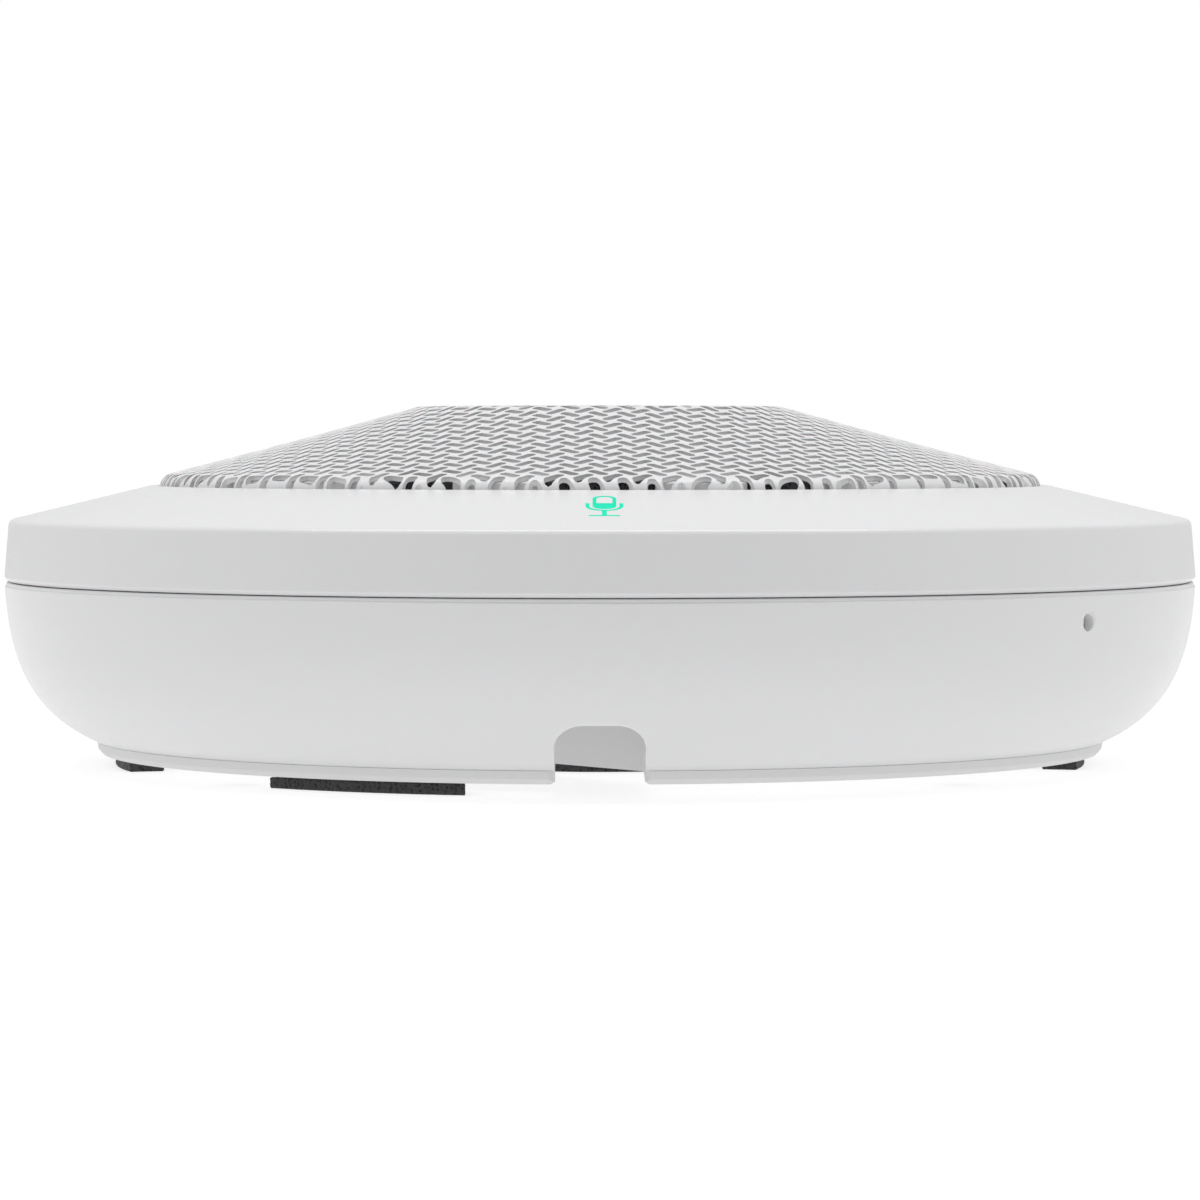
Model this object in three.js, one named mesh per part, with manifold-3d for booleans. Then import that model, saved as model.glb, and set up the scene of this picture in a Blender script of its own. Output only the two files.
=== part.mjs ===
// A round table-top conference speakerphone, in millimetres. +Z is up, the origin is the centre of the
// table contact, and the cable notch faces -Y. Angles called "from the front" turn from -Y towards +X.
import * as THREE from "three";
import { mergeVertices } from "three/addons/utils/BufferGeometryUtils.js";
import Module from "manifold-3d";

// Driving dimensions
const OUTER_RADIUS = 120;
const TOTAL_HEIGHT = 72;
const GAP = 0.3; // clearance between pieces that rest on each other
const OUTER_SEGMENTS = 60;
const INNER_SEGMENTS = 24;
const SMALL_SEGMENTS = 8;

// Feet and base plate
const PAD_TOP = 2.1;
const PAD_INNER = 91;
const PAD_OUTER = 98;
const PAD_HALF_SPAN = 16; // degrees
const LEFT_PAD_HALF_SPAN = 19.5;
const FRONT_PAD_OUTER = [-39.2, -14.6]; // degrees from the front, along the pad's outer edge
const FRONT_PAD_INNER = [-36, -15.9];
const CENTRE_PAD_RADIUS = 33;
const BASE_BOTTOM = PAD_TOP + GAP;
const BASE_TOP = 4.7;
const BASE_RADIUS = 101.4;

// Cable notch and connector bay
const NOTCH_HALF = 8.3;
const NOTCH_TOP = 13.9;
const NOTCH_CORNER = 4.6;
const HOOD_WALL = 2;
const HOOD_END = -91.8;
const BAY_CEILING = 18.2;
const BAY_ROOF = 20;
const BAY_WALL = 2;
const BAY_END = -20;
const BAY_LEFT = -62;
const BAY_OUTLINE = [
  [NOTCH_HALF, -89],
  [NOTCH_HALF, -65],
  [-27.8, BAY_END],
  [BAY_LEFT, BAY_END],
  [BAY_LEFT, -50],
  [-30, -80],
  [-NOTCH_HALF, -87],
  [-NOTCH_HALF, -89],
];

// Lower housing
const BOWL_BOTTOM = BASE_TOP + GAP;
const SEAM = 36.9;
const FLANGE_TOP = 7;
const FLANGE_INNER = 93;
const BOWL_FOOT_RADIUS = 101.7;
const TONGUE_OUTER = 117.3;
const TONGUE_INNER = 115.7;
const TONGUE_TOP = 39.4;

// Top bezel
const BEZEL_BOTTOM = SEAM + GAP;
const BEZEL_WALL = 2.2;
const SLOPE_OUTER = [118.3, 49.4];
const SLOPE_INNER = [90.6, 56.1];
const SLOPE_FALL = (SLOPE_INNER[1] - SLOPE_OUTER[1]) / (SLOPE_OUTER[0] - SLOPE_INNER[0]);
const SLOPE_ANGLE = Math.atan(SLOPE_FALL);
const BEZEL_FLANGE_TOP = 52.7;
const BEZEL_FLANGE_BOTTOM = 50.5;
const BEZEL_FLANGE_INNER = 77;
const GRILLE_OPENING = 89.9;

// Grille
const GRILLE_RADIUS = 89;
const GRILLE_WALL = 1;
const GRILLE_TOP_FILLET = 8;
const GRILLE_SHOULDER_FILLET = 3.6;
const GRILLE_BOTTOM = BEZEL_FLANGE_TOP + GAP;
const CONE_TOP_RADIUS = 36.57; // where the cone leaves the flat top
const CONE_FALL = 0.287; // height lost for each millimetre outwards, at the top
const CONE_EASE = 0.00037; // how the fall eases off outwards
const CONE_STEPS = [50, 63, 76]; // radii at which the eased cone has a corner
const WALL_DROP = GRILLE_WALL * Math.hypot(1, CONE_FALL);
const LINER_THICKNESS = 0.5;
const LINER_RADIUS = 81.8;
const RING_BOTTOM = GRILLE_BOTTOM;
const CARRIER_INNER = 82.2;
const CARRIER_OUTER = 86.8;
const SHOULDER_DIP = 0.25; // how far the shoulder's underside lies under the cone there
const CARRIER_WINDOWS = [[0, 10.2], [-22.8, 6.7], [22.8, 6.7]]; // angle of the middle, half width
const MIC_BOARD_INNER = 66;
const MIC_FOAM_INNER = 74;
const MIC_FOAM_OUTER = 81;
const MIC_FOAM_BOTTOM = RING_BOTTOM + 1.5;
const MIC_FOAM_TOP = 56.4;

// Screws
const QUARTER_ANGLES = [45, 135, 225, 315]; // degrees from +X
const BASE_SCREW_CIRCLE = 96;
const BASE_SCREW_HEAD = 2.7;
const BASE_SCREW_SINK = 4.6;
const POST_RADIUS = 3.5;
const BOARD_SCREW_CIRCLE = 60;
const BOARD_SCREW_ANGLES = [20, 110, 160, 290]; // degrees from +X
const LID_SCREW_CIRCLE = 82;
const LID_SCREW_ANGLES = [30, 120, 210, 300];
const DRIVER_SCREW_CIRCLE = 40.5;

// Main board and loudspeaker chamber
const BOARD_BOTTOM = 21;
const BOARD_TOP = 22.6;
const BOARD_RADIUS = 70;
const CHAMBER_BOTTOM = 26;
const CHAMBER_OUTER = 58;
const CHAMBER_WALL = 2;
const LID_BOTTOM = 47.9;
const LID_TOP = BEZEL_FLANGE_BOTTOM - GAP;
const BAFFLE_TOP = 61;
const BAFFLE_HOLE = 36.5;
const DRIVER_FLANGE_BOTTOM = 62.3;
const DRIVER_FLANGE_TOP = 63.8;
const DRIVER_FLANGE_RADIUS = 43;

// Reset button, behind a small hole in the side
const RESET_ANGLE = 50; // degrees from the front
const RESET_HEIGHT = 31.1;
const RESET_HOLE_RADIUS = 1.65;

// Microphone symbol on the bezel slope
const SYMBOL_RADIUS = 102.2; // distance from the axis
const SYMBOL_SIDE = 0.8; // offset towards +X
const SYMBOL_THICKNESS = 0.5;
const SYMBOL_STROKE = 0.7;

const wasm = await Module();
wasm.setup();
const radians = THREE.MathUtils.degToRad;

// ---- geometry helpers -------------------------------------------------------------------------------

function toManifold(geometry) {
  const bare = geometry.clone();
  bare.deleteAttribute("normal");
  bare.deleteAttribute("uv");
  const merged = mergeVertices(bare, 1e-4);
  const corners = merged.index.array;
  const kept = [];
  for (let i = 0; i < corners.length; i += 3) {
    const [a, b, c] = corners.slice(i, i + 3);
    if (a !== b && b !== c && c !== a) kept.push(a, b, c);
  }
  const mesh = new wasm.Mesh({
    numProp: 3,
    vertProperties: merged.attributes.position.array,
    triVerts: new Uint32Array(kept),
  });
  return new wasm.Manifold(mesh);
}

function toGeometry(solid) {
  const mesh = solid.getMesh();
  const geometry = new THREE.BufferGeometry();
  geometry.setAttribute("position", new THREE.BufferAttribute(mesh.vertProperties, 3));
  geometry.setIndex(new THREE.BufferAttribute(mesh.triVerts, 1));
  geometry.computeVertexNormals();
  return geometry;
}

function join(first, ...others) {
  return toGeometry(others.reduce((solid, other) => solid.add(toManifold(other)), toManifold(first)));
}

function cut(first, ...tools) {
  return toGeometry(tools.reduce((solid, tool) => solid.subtract(toManifold(tool)), toManifold(first)));
}

function common(first, second) {
  return toGeometry(toManifold(first).intersect(toManifold(second)));
}

// Corner points [x, y] or [x, y, fillet radius] as a list of Vector2 with the fillets drawn as arcs.
function outline(corners, arcSteps = 4) {
  const points = [];
  corners.forEach((corner, i) => {
    const here = new THREE.Vector2(corner[0], corner[1]);
    const fillet = corner[2] ?? 0;
    if (fillet === 0) {
      points.push(here);
      return;
    }
    const before = corners[(i + corners.length - 1) % corners.length];
    const after = corners[(i + 1) % corners.length];
    const back = new THREE.Vector2(before[0], before[1]).sub(here).normalize();
    const ahead = new THREE.Vector2(after[0], after[1]).sub(here).normalize();
    const half = Math.acos(back.dot(ahead)) / 2;
    const middle = back.clone().add(ahead).normalize().multiplyScalar(fillet / Math.sin(half)).add(here);
    const start = back.clone().multiplyScalar(fillet / Math.tan(half)).add(here).sub(middle);
    const end = ahead.clone().multiplyScalar(fillet / Math.tan(half)).add(here).sub(middle);
    const turn = Math.atan2(start.cross(end), start.dot(end));
    for (let step = 0; step <= arcSteps; step += 1) {
      points.push(start.clone().rotateAround(new THREE.Vector2(), (turn * step) / arcSteps).add(middle));
    }
  });
  return points;
}

// A solid of revolution about +Z from a closed or axis-to-axis outline of [radius, height] points.
function revolve(points, segments) {
  const ordered = THREE.ShapeUtils.area(points) > 0 ? points : [...points].reverse();
  const startsOnAxis = points.some((point) => point.x === 0);
  const ring = [...ordered];
  if (startsOnAxis) {
    while (!(ring[0].x === 0 && ring[ring.length - 1].x === 0)) ring.push(ring.shift());
  } else {
    ring.push(ring[0].clone());
  }
  return new THREE.LatheGeometry(ring, segments).rotateX(Math.PI / 2);
}

// A straight-sided solid from a flat outline, standing between two heights.
function prism(points, bottom, top, holes = []) {
  const shape = new THREE.Shape(points);
  shape.holes = holes.map((hole) => new THREE.Path(hole));
  const geometry = new THREE.ExtrudeGeometry(shape, { depth: top - bottom, bevelEnabled: false });
  return geometry.translate(0, 0, bottom);
}

function block(fromX, toX, fromY, toY, fromZ, toZ) {
  const geometry = new THREE.BoxGeometry(toX - fromX, toY - fromY, toZ - fromZ);
  return geometry.translate((fromX + toX) / 2, (fromY + toY) / 2, (fromZ + toZ) / 2);
}

function upright(radius, bottom, top, x = 0, y = 0, segments = SMALL_SEGMENTS) {
  const geometry = new THREE.CylinderGeometry(radius, radius, top - bottom, segments);
  return geometry.rotateX(Math.PI / 2).translate(x, y, (bottom + top) / 2);
}

// A cylinder lying along the local front direction, between two distances from the axis.
function spoke(radius, from, to, height, angle, segments = SMALL_SEGMENTS) {
  const geometry = new THREE.CylinderGeometry(radius, radius, to - from, segments);
  return geometry.translate(0, -(from + to) / 2, height).rotateZ(radians(angle));
}

function ring(inner, outer, bottom, top, segments = INNER_SEGMENTS) {
  return revolve(outline([[inner, bottom], [outer, bottom], [outer, top], [inner, top]]), segments);
}

function onCircle(radius, degrees) {
  return [radius * Math.cos(radians(degrees)), radius * Math.sin(radians(degrees))];
}

// The outline moved outwards by a distance, its corners kept sharp. The points run anticlockwise.
function grown(corners, distance) {
  return corners.map((corner, i) => {
    const here = new THREE.Vector2(...corner);
    const before = new THREE.Vector2(...corners[(i + corners.length - 1) % corners.length]);
    const after = new THREE.Vector2(...corners[(i + 1) % corners.length]);
    const into = here.clone().sub(before).normalize();
    const out = after.clone().sub(here).normalize();
    const normalIn = new THREE.Vector2(into.y, -into.x);
    const normalOut = new THREE.Vector2(out.y, -out.x);
    const mitre = normalIn.clone().add(normalOut).normalize();
    return here.addScaledVector(mitre, distance / mitre.dot(normalIn));
  });
}

// ---- finishes and the part tree ---------------------------------------------------------------------

const FINISHES = {
  whiteShell: { color: 0xe9eaec, roughness: 0.42, metalness: 0 },
  whiteInner: { color: 0xdcdddf, roughness: 0.55, metalness: 0 },
  blackFoam: { color: 0x1d1d1e, roughness: 0.95, metalness: 0 },
  greyCloth: { color: 0xb9bbbd, roughness: 0.9, metalness: 0 },
  blackPlastic: { color: 0x232326, roughness: 0.6, metalness: 0 },
  board: { color: 0x1f5b3a, roughness: 0.5, metalness: 0.05 },
  steel: { color: 0xb5b8bb, roughness: 0.32, metalness: 1 },
  aluminium: { color: 0xc9ccd0, roughness: 0.35, metalness: 1 },
  ferrite: { color: 0x3a3a3d, roughness: 0.75, metalness: 0.2 },
  copper: { color: 0xb87333, roughness: 0.35, metalness: 1 },
  rubber: { color: 0x19191a, roughness: 0.8, metalness: 0 },
  paperCone: { color: 0x2c2b2a, roughness: 0.85, metalness: 0 },
  symbolLight: { color: 0x1fe6b9, roughness: 0.4, metalness: 0 },
};

const speakerphone = new THREE.Group();

function addPiece(name, geometry, finish, parent = speakerphone) {
  const mesh = new THREE.Mesh(geometry, new THREE.MeshStandardMaterial(FINISHES[finish]));
  mesh.name = name;
  parent.add(mesh);
  return mesh;
}

// A pan-head screw: its head stands between two heights and its shank runs to the tip.
function screw(head, shank, underHead, headEnd, tip) {
  const shankCorners = [[0, tip], [shank, tip], [shank, underHead]];
  const headCorners = [[head, underHead], [head, headEnd], [0, headEnd]];
  return revolve(outline([...shankCorners, ...headCorners]), SMALL_SEGMENTS);
}

// ---- outer shells -----------------------------------------------------------------------------------

// A pad along the rim, between angles from the front that may differ on its outer and inner edges.
function arcPad(outerSpan, innerSpan = outerSpan) {
  const edge = (radius, [from, to]) => {
    const steps = 8;
    const points = [];
    for (let i = 0; i <= steps; i += 1) {
      points.push(new THREE.Vector2(...onCircle(radius, from + ((to - from) * i) / steps - 90)));
    }
    return points;
  };
  return prism([...edge(PAD_OUTER, outerSpan), ...edge(PAD_INNER, innerSpan).reverse()], 0, PAD_TOP);
}

function notchOutline(margin, foot) {
  const half = NOTCH_HALF + margin;
  const top = NOTCH_TOP + margin;
  const corner = NOTCH_CORNER + margin;
  return outline([[-half, foot], [half, foot], [half, top, corner], [-half, top, corner]]);
}

// The notch's cross-section run along Y.
function notchRun(margin, foot, fromY, toY) {
  return prism(notchOutline(margin, foot), -toY, -fromY).rotateX(Math.PI / 2);
}

function bowlCurve(steps) {
  const curve = new THREE.CubicBezierCurve(
    new THREE.Vector2(BOWL_FOOT_RADIUS, BOWL_BOTTOM),
    new THREE.Vector2(114.5, 10.4),
    new THREE.Vector2(119.3, 20.6),
    new THREE.Vector2(OUTER_RADIUS - 0.05, SEAM),
  );
  return curve.getPoints(steps);
}

function bowlInnerCurve(steps) {
  const curve = new THREE.CubicBezierCurve(
    new THREE.Vector2(TONGUE_OUTER, 31.5),
    new THREE.Vector2(116.9, 21),
    new THREE.Vector2(112.4, 12.3),
    new THREE.Vector2(100.6, FLANGE_TOP),
  );
  return curve.getPoints(steps);
}

function basePlate() {
  const disc = revolve(
    outline([[0, BASE_BOTTOM], [100.2, BASE_BOTTOM], [101.2, 3.4], [BASE_RADIUS, BASE_TOP], [0, BASE_TOP]]),
    OUTER_SEGMENTS,
  );
  const bayOuter = grown(BAY_OUTLINE, BAY_WALL);
  const bayInner = BAY_OUTLINE.map((corner) => new THREE.Vector2(...corner));
  const posts = BOARD_SCREW_ANGLES.map((angle) =>
    upright(POST_RADIUS, BASE_BOTTOM + 1, BOARD_BOTTOM - GAP, ...onCircle(BOARD_SCREW_CIRCLE, angle)),
  );
  const postHoles = BOARD_SCREW_ANGLES.map((angle) =>
    upright(1.5, 10, BOARD_BOTTOM + 1, ...onCircle(BOARD_SCREW_CIRCLE, angle)),
  );
  const screwHoles = QUARTER_ANGLES.map((angle) => {
    const [x, y] = onCircle(BASE_SCREW_CIRCLE, angle);
    const hole = outline([[0, 1], [4, 1], [3.6, BASE_BOTTOM], [1.7, BASE_SCREW_SINK], [1.7, 6], [0, 6]]);
    return revolve(hole, SMALL_SEGMENTS).translate(x, y, 0);
  });
  return cut(
    join(disc, prism(bayOuter, BASE_BOTTOM, BAY_ROOF), ...posts),
    prism(bayInner, 0, BAY_CEILING),
    block(-NOTCH_HALF, NOTCH_HALF, -110, -87.5, 0, NOTCH_TOP),
    block(-47.2, -34.8, BAY_END - 1, BAY_END + BAY_WALL + 1, 7.9, 17.4),
    block(-59.9, -51.1, BAY_END - 1, BAY_END + BAY_WALL + 1, 14.3, 17.7),
    ...postHoles,
    ...screwHoles,
  );
}

function lowerHousing() {
  const shell = revolve(
    [
      new THREE.Vector2(FLANGE_INNER, BOWL_BOTTOM),
      ...bowlCurve(7),
      new THREE.Vector2(TONGUE_OUTER, SEAM),
      new THREE.Vector2(TONGUE_OUTER, TONGUE_TOP),
      new THREE.Vector2(TONGUE_INNER, TONGUE_TOP),
      new THREE.Vector2(TONGUE_INNER, 33),
      ...bowlInnerCurve(4),
      new THREE.Vector2(FLANGE_INNER, FLANGE_TOP),
    ],
    OUTER_SEGMENTS,
  );
  const filled = revolve(
    [new THREE.Vector2(0, BOWL_BOTTOM), ...bowlCurve(7), new THREE.Vector2(0, SEAM)],
    OUTER_SEGMENTS,
  );
  const ribs = [-8.3, 6.3].map((side) =>
    block(side, side + 2, -117.5, -101, RESET_HEIGHT - 7, RESET_HEIGHT + 5).rotateZ(radians(RESET_ANGLE)),
  );
  const additions = join(
    notchRun(HOOD_WALL, BOWL_BOTTOM, -OUTER_RADIUS, HOOD_END),
    spoke(4, 112, 118.5, RESET_HEIGHT, RESET_ANGLE),
    ...ribs,
  );
  const screwHoles = QUARTER_ANGLES.map((angle) =>
    upright(1.7, 4, 8, ...onCircle(BASE_SCREW_CIRCLE, angle)),
  );
  return cut(
    join(shell, common(additions, filled)),
    notchRun(0, 0, -OUTER_RADIUS - 5, HOOD_END + 5),
    spoke(RESET_HOLE_RADIUS, 111, OUTER_RADIUS + 2, RESET_HEIGHT, RESET_ANGLE, 16),
    ...screwHoles,
  );
}

// Places a geometry that was made flat on the bezel slope at the front, its local +Y pointing up the slope.
function onSlope(geometry) {
  const height = SLOPE_INNER[1] - (SYMBOL_RADIUS - SLOPE_INNER[0]) * SLOPE_FALL;
  return geometry.rotateX(SLOPE_ANGLE).translate(SYMBOL_SIDE, -SYMBOL_RADIUS, height);
}

function capsuleOutline(margin) {
  const half = 2.16 + margin;
  return outline(
    [[-half, -2.26 - margin, half - 0.01], [half, -2.26 - margin, half - 0.01],
      [half, 7.35 + margin, half - 0.01], [-half, 7.35 + margin, half - 0.01]],
    6,
  );
}

function cradleOutline(margin) {
  const outer = 3.44 + margin;
  const inner = 3.44 - SYMBOL_STROKE - margin;
  const stem = 0.44 + margin;
  const armTop = 1.97 + margin;
  const bowlCentre = -0.17;
  const foot = 2.8 + margin;
  const stemTop = bowlCentre - Math.sqrt(outer * outer - stem * stem);
  const start = Math.acos(stem / outer);
  const points = [new THREE.Vector2(-outer, armTop)];
  const sweep = (radius, from, to) => {
    for (let i = 0; i <= 6; i += 1) {
      const angle = from + ((to - from) * i) / 6;
      points.push(new THREE.Vector2(radius * Math.cos(angle), bowlCentre + radius * Math.sin(angle)));
    }
  };
  sweep(outer, -Math.PI, -Math.PI + start);
  for (const [x, y] of [[-stem, -6.6 + margin], [-foot, -6.6 + margin], [-foot, -7.3 - margin],
    [foot, -7.3 - margin], [foot, -6.6 + margin], [stem, -6.6 + margin], [stem, stemTop]]) {
    points.push(new THREE.Vector2(x, y));
  }
  sweep(outer, -start + 0.02, 0);
  points.push(new THREE.Vector2(outer, armTop), new THREE.Vector2(inner, armTop));
  sweep(inner, 0, -Math.PI);
  points.push(new THREE.Vector2(-inner, armTop));
  return points;
}

function topBezel() {
  const dropAlongSlope = BEZEL_WALL / Math.cos(SLOPE_ANGLE);
  const under = (radius) => SLOPE_INNER[1] - (radius - SLOPE_INNER[0]) * SLOPE_FALL - dropAlongSlope;
  const shell = revolve(
    outline([
      [117.8, BEZEL_BOTTOM],
      [OUTER_RADIUS - 0.7, BEZEL_BOTTOM],
      [OUTER_RADIUS, BEZEL_BOTTOM + 0.7],
      [119.05, 49.22, 1.9],
      [GRILLE_OPENING, SLOPE_INNER[1] + 0.17, 0.7],
      [GRILLE_OPENING, BEZEL_FLANGE_TOP],
      [BEZEL_FLANGE_INNER, BEZEL_FLANGE_TOP],
      [BEZEL_FLANGE_INNER, BEZEL_FLANGE_BOTTOM],
      [92.1, BEZEL_FLANGE_BOTTOM],
      [92.1, under(92.1)],
      [116.4, under(116.4)],
      [117.4, 46],
    ], 2),
    OUTER_SEGMENTS,
  );
  const posts = QUARTER_ANGLES.map((angle) =>
    upright(POST_RADIUS, FLANGE_TOP + GAP, 53, ...onCircle(BASE_SCREW_CIRCLE, angle)),
  );
  const postHoles = QUARTER_ANGLES.map((angle) =>
    upright(1.7, FLANGE_TOP, 17, ...onCircle(BASE_SCREW_CIRCLE, angle)),
  );
  const lidHoles = LID_SCREW_ANGLES.map((angle) =>
    upright(1.3, BEZEL_FLANGE_BOTTOM - 1, BEZEL_FLANGE_TOP - 0.5, ...onCircle(LID_SCREW_CIRCLE, angle)),
  );
  const pocket = join(prism(capsuleOutline(GAP), -0.8, 1), prism(cradleOutline(GAP), -0.8, 1));
  return cut(join(shell, ...posts), ...postHoles, ...lidHoles, onSlope(pocket));
}

function coneHeight(radius) {
  const out = radius - CONE_TOP_RADIUS;
  return TOTAL_HEIGHT - CONE_FALL * out + CONE_EASE * out * out;
}

function coneCorners(drop) {
  return CONE_STEPS.map((radius) => [radius, coneHeight(radius) - drop]);
}

function grilleDome() {
  const innerTop = TOTAL_HEIGHT - GRILLE_WALL;
  const innerRadius = GRILLE_RADIUS - GRILLE_WALL;
  return revolve(
    outline([
      [0, TOTAL_HEIGHT],
      [CONE_TOP_RADIUS, TOTAL_HEIGHT, GRILLE_TOP_FILLET],
      ...coneCorners(0),
      [GRILLE_RADIUS, coneHeight(GRILLE_RADIUS), GRILLE_SHOULDER_FILLET],
      [GRILLE_RADIUS, GRILLE_BOTTOM],
      [innerRadius, GRILLE_BOTTOM],
      [innerRadius, coneHeight(innerRadius) - WALL_DROP, GRILLE_SHOULDER_FILLET - GRILLE_WALL],
      ...coneCorners(WALL_DROP).reverse(),
      [CONE_TOP_RADIUS, innerTop],
      [0, innerTop],
    ], 3),
    OUTER_SEGMENTS,
  );
}

// ---- under the grille -------------------------------------------------------------------------------

function grilleLiner() {
  const upper = WALL_DROP + GAP;
  const lower = upper + LINER_THICKNESS;
  const top = TOTAL_HEIGHT - GRILLE_WALL - GAP;
  const corner = CONE_TOP_RADIUS - 0.4;
  return revolve(
    outline([
      [0, top],
      [corner, top],
      ...coneCorners(upper),
      [LINER_RADIUS, coneHeight(LINER_RADIUS) - upper],
      [LINER_RADIUS, coneHeight(LINER_RADIUS) - lower],
      ...coneCorners(lower).reverse(),
      [corner, top - LINER_THICKNESS],
      [0, top - LINER_THICKNESS],
    ]),
    OUTER_SEGMENTS,
  );
}

// Height that a piece under the grille may reach at a distance from the axis.
function underGrille(radius) {
  const underShoulder = radius > CARRIER_OUTER - 1 ? SHOULDER_DIP : 0;
  return coneHeight(radius) - WALL_DROP - GAP - underShoulder;
}

// Three blocks in each quarter, which fill the carrier's windows less a margin at each side.
function windowBlocks(margin, bottom) {
  const blocks = [];
  for (let quarter = 0; quarter < 4; quarter += 1) {
    for (const [middle, halfWidth] of CARRIER_WINDOWS) {
      const side = halfWidth - margin;
      blocks.push(block(-side, side, -89, -79, bottom, 60).rotateZ(radians(90 * quarter + middle)));
    }
  }
  return blocks;
}

// A stiff ring under the grille's edge, with windows in front of the microphones in each quarter.
function grilleCarrier() {
  const body = revolve(
    outline([
      [CARRIER_INNER, RING_BOTTOM],
      [CARRIER_OUTER, RING_BOTTOM],
      [CARRIER_OUTER, underGrille(CARRIER_OUTER)],
      [CARRIER_INNER, underGrille(CARRIER_INNER)],
    ]),
    OUTER_SEGMENTS,
  );
  return cut(body, ...windowBlocks(0, RING_BOTTOM + 1));
}

// The foam ring over the microphone board, with a tab that fills each window of the carrier.
function micFoamRing() {
  const tabInner = MIC_FOAM_OUTER - 0.5;
  const tabOuter = CARRIER_OUTER - GAP;
  const linerEdge = LINER_RADIUS + GAP;
  const underLiner = underGrille(LINER_RADIUS) - LINER_THICKNESS - GAP;
  const fan = revolve(
    outline([
      [tabInner, MIC_FOAM_BOTTOM],
      [tabOuter, MIC_FOAM_BOTTOM],
      [tabOuter, underGrille(tabOuter)],
      [linerEdge, underGrille(linerEdge)],
      [linerEdge, underLiner],
      [tabInner, underLiner],
    ]),
    OUTER_SEGMENTS,
  );
  const tabs = windowBlocks(GAP, MIC_FOAM_BOTTOM - 1).map((tab) => common(fan, tab));
  return join(ring(MIC_FOAM_INNER, MIC_FOAM_OUTER, MIC_FOAM_BOTTOM, MIC_FOAM_TOP, OUTER_SEGMENTS), ...tabs);
}

// ---- loudspeaker and its sealed chamber -------------------------------------------------------------

function chamberLid() {
  const inner = CHAMBER_OUTER - CHAMBER_WALL;
  const shell = revolve(
    outline([
      [BAFFLE_HOLE, BAFFLE_TOP - 2],
      [BAFFLE_HOLE, BAFFLE_TOP],
      [CHAMBER_OUTER, BAFFLE_TOP],
      [CHAMBER_OUTER, LID_TOP],
      [86, LID_TOP],
      [86, LID_BOTTOM],
      [inner, LID_BOTTOM],
      [inner, BAFFLE_TOP - 2],
    ]),
    INNER_SEGMENTS,
  );
  const lidHoles = LID_SCREW_ANGLES.map((angle) =>
    upright(1.3, LID_BOTTOM - 1, LID_TOP + 1, ...onCircle(LID_SCREW_CIRCLE, angle)),
  );
  const driverHoles = QUARTER_ANGLES.map((angle) =>
    upright(1.3, BAFFLE_TOP - 3, BAFFLE_TOP + 1, ...onCircle(DRIVER_SCREW_CIRCLE, angle)),
  );
  return cut(shell, ...lidHoles, ...driverHoles, block(-7, 7, 65.6, 69, LID_BOTTOM - 1, LID_TOP + 1));
}

function chamberCup() {
  const top = LID_BOTTOM - GAP;
  const shell = revolve(
    outline([
      [0, CHAMBER_BOTTOM],
      [CHAMBER_OUTER, CHAMBER_BOTTOM],
      [CHAMBER_OUTER, top - 2],
      [62, top - 2],
      [62, top],
      [CHAMBER_OUTER - CHAMBER_WALL, top],
      [CHAMBER_OUTER - CHAMBER_WALL, CHAMBER_BOTTOM + CHAMBER_WALL],
      [0, CHAMBER_BOTTOM + CHAMBER_WALL],
    ]),
    INNER_SEGMENTS,
  );
  return cut(shell, upright(1.6, CHAMBER_BOTTOM - 1, CHAMBER_BOTTOM + 3, 45, 0));
}

function driverBasket() {
  const frame = revolve(
    outline([
      [11, 46],
      [25, 46],
      [36, DRIVER_FLANGE_BOTTOM],
      [DRIVER_FLANGE_RADIUS, DRIVER_FLANGE_BOTTOM],
      [DRIVER_FLANGE_RADIUS, DRIVER_FLANGE_TOP],
      [34.8, DRIVER_FLANGE_TOP],
      [24, 47.5],
      [11, 47.5],
    ]),
    INNER_SEGMENTS,
  );
  const windows = [0, 90, 180, 270].map((angle) =>
    block(-11, 11, -40, -22, 51, 58).rotateZ(radians(angle + 45)),
  );
  const holes = QUARTER_ANGLES.map((angle) =>
    upright(1.3, DRIVER_FLANGE_BOTTOM - 1, DRIVER_FLANGE_TOP + 1, ...onCircle(DRIVER_SCREW_CIRCLE, angle)),
  );
  return cut(frame, ...windows, ...holes);
}

function driverGasket() {
  const flat = ring(37, DRIVER_FLANGE_RADIUS, BAFFLE_TOP + 0.2, DRIVER_FLANGE_BOTTOM - 0.3);
  const holes = QUARTER_ANGLES.map((angle) =>
    upright(1.3, BAFFLE_TOP - 1, DRIVER_FLANGE_BOTTOM + 1, ...onCircle(DRIVER_SCREW_CIRCLE, angle)),
  );
  return cut(flat, ...holes);
}

function yoke() {
  const points = outline([[0, 31.2], [23, 31.2], [23, 34.2], [8, 34.2], [8, 45.7], [0, 45.7]]);
  return revolve(points, INNER_SEGMENTS);
}

function speakerCone() {
  const points = outline([[9.7, 54.4], [28.4, 63], [31, 63], [31, 63.8], [28, 63.8], [9.7, 55.3]]);
  return revolve(points, INNER_SEGMENTS);
}

function dustCap() {
  const domed = (drop) => {
    const arc = new THREE.QuadraticBezierCurve(
      new THREE.Vector2(0, 61 - drop),
      new THREE.Vector2(8, 61 - drop),
      new THREE.Vector2(13 - drop, 57.3),
    );
    return arc.getPoints(3);
  };
  return revolve([...domed(0), ...domed(0.6).reverse()], 16);
}

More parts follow.
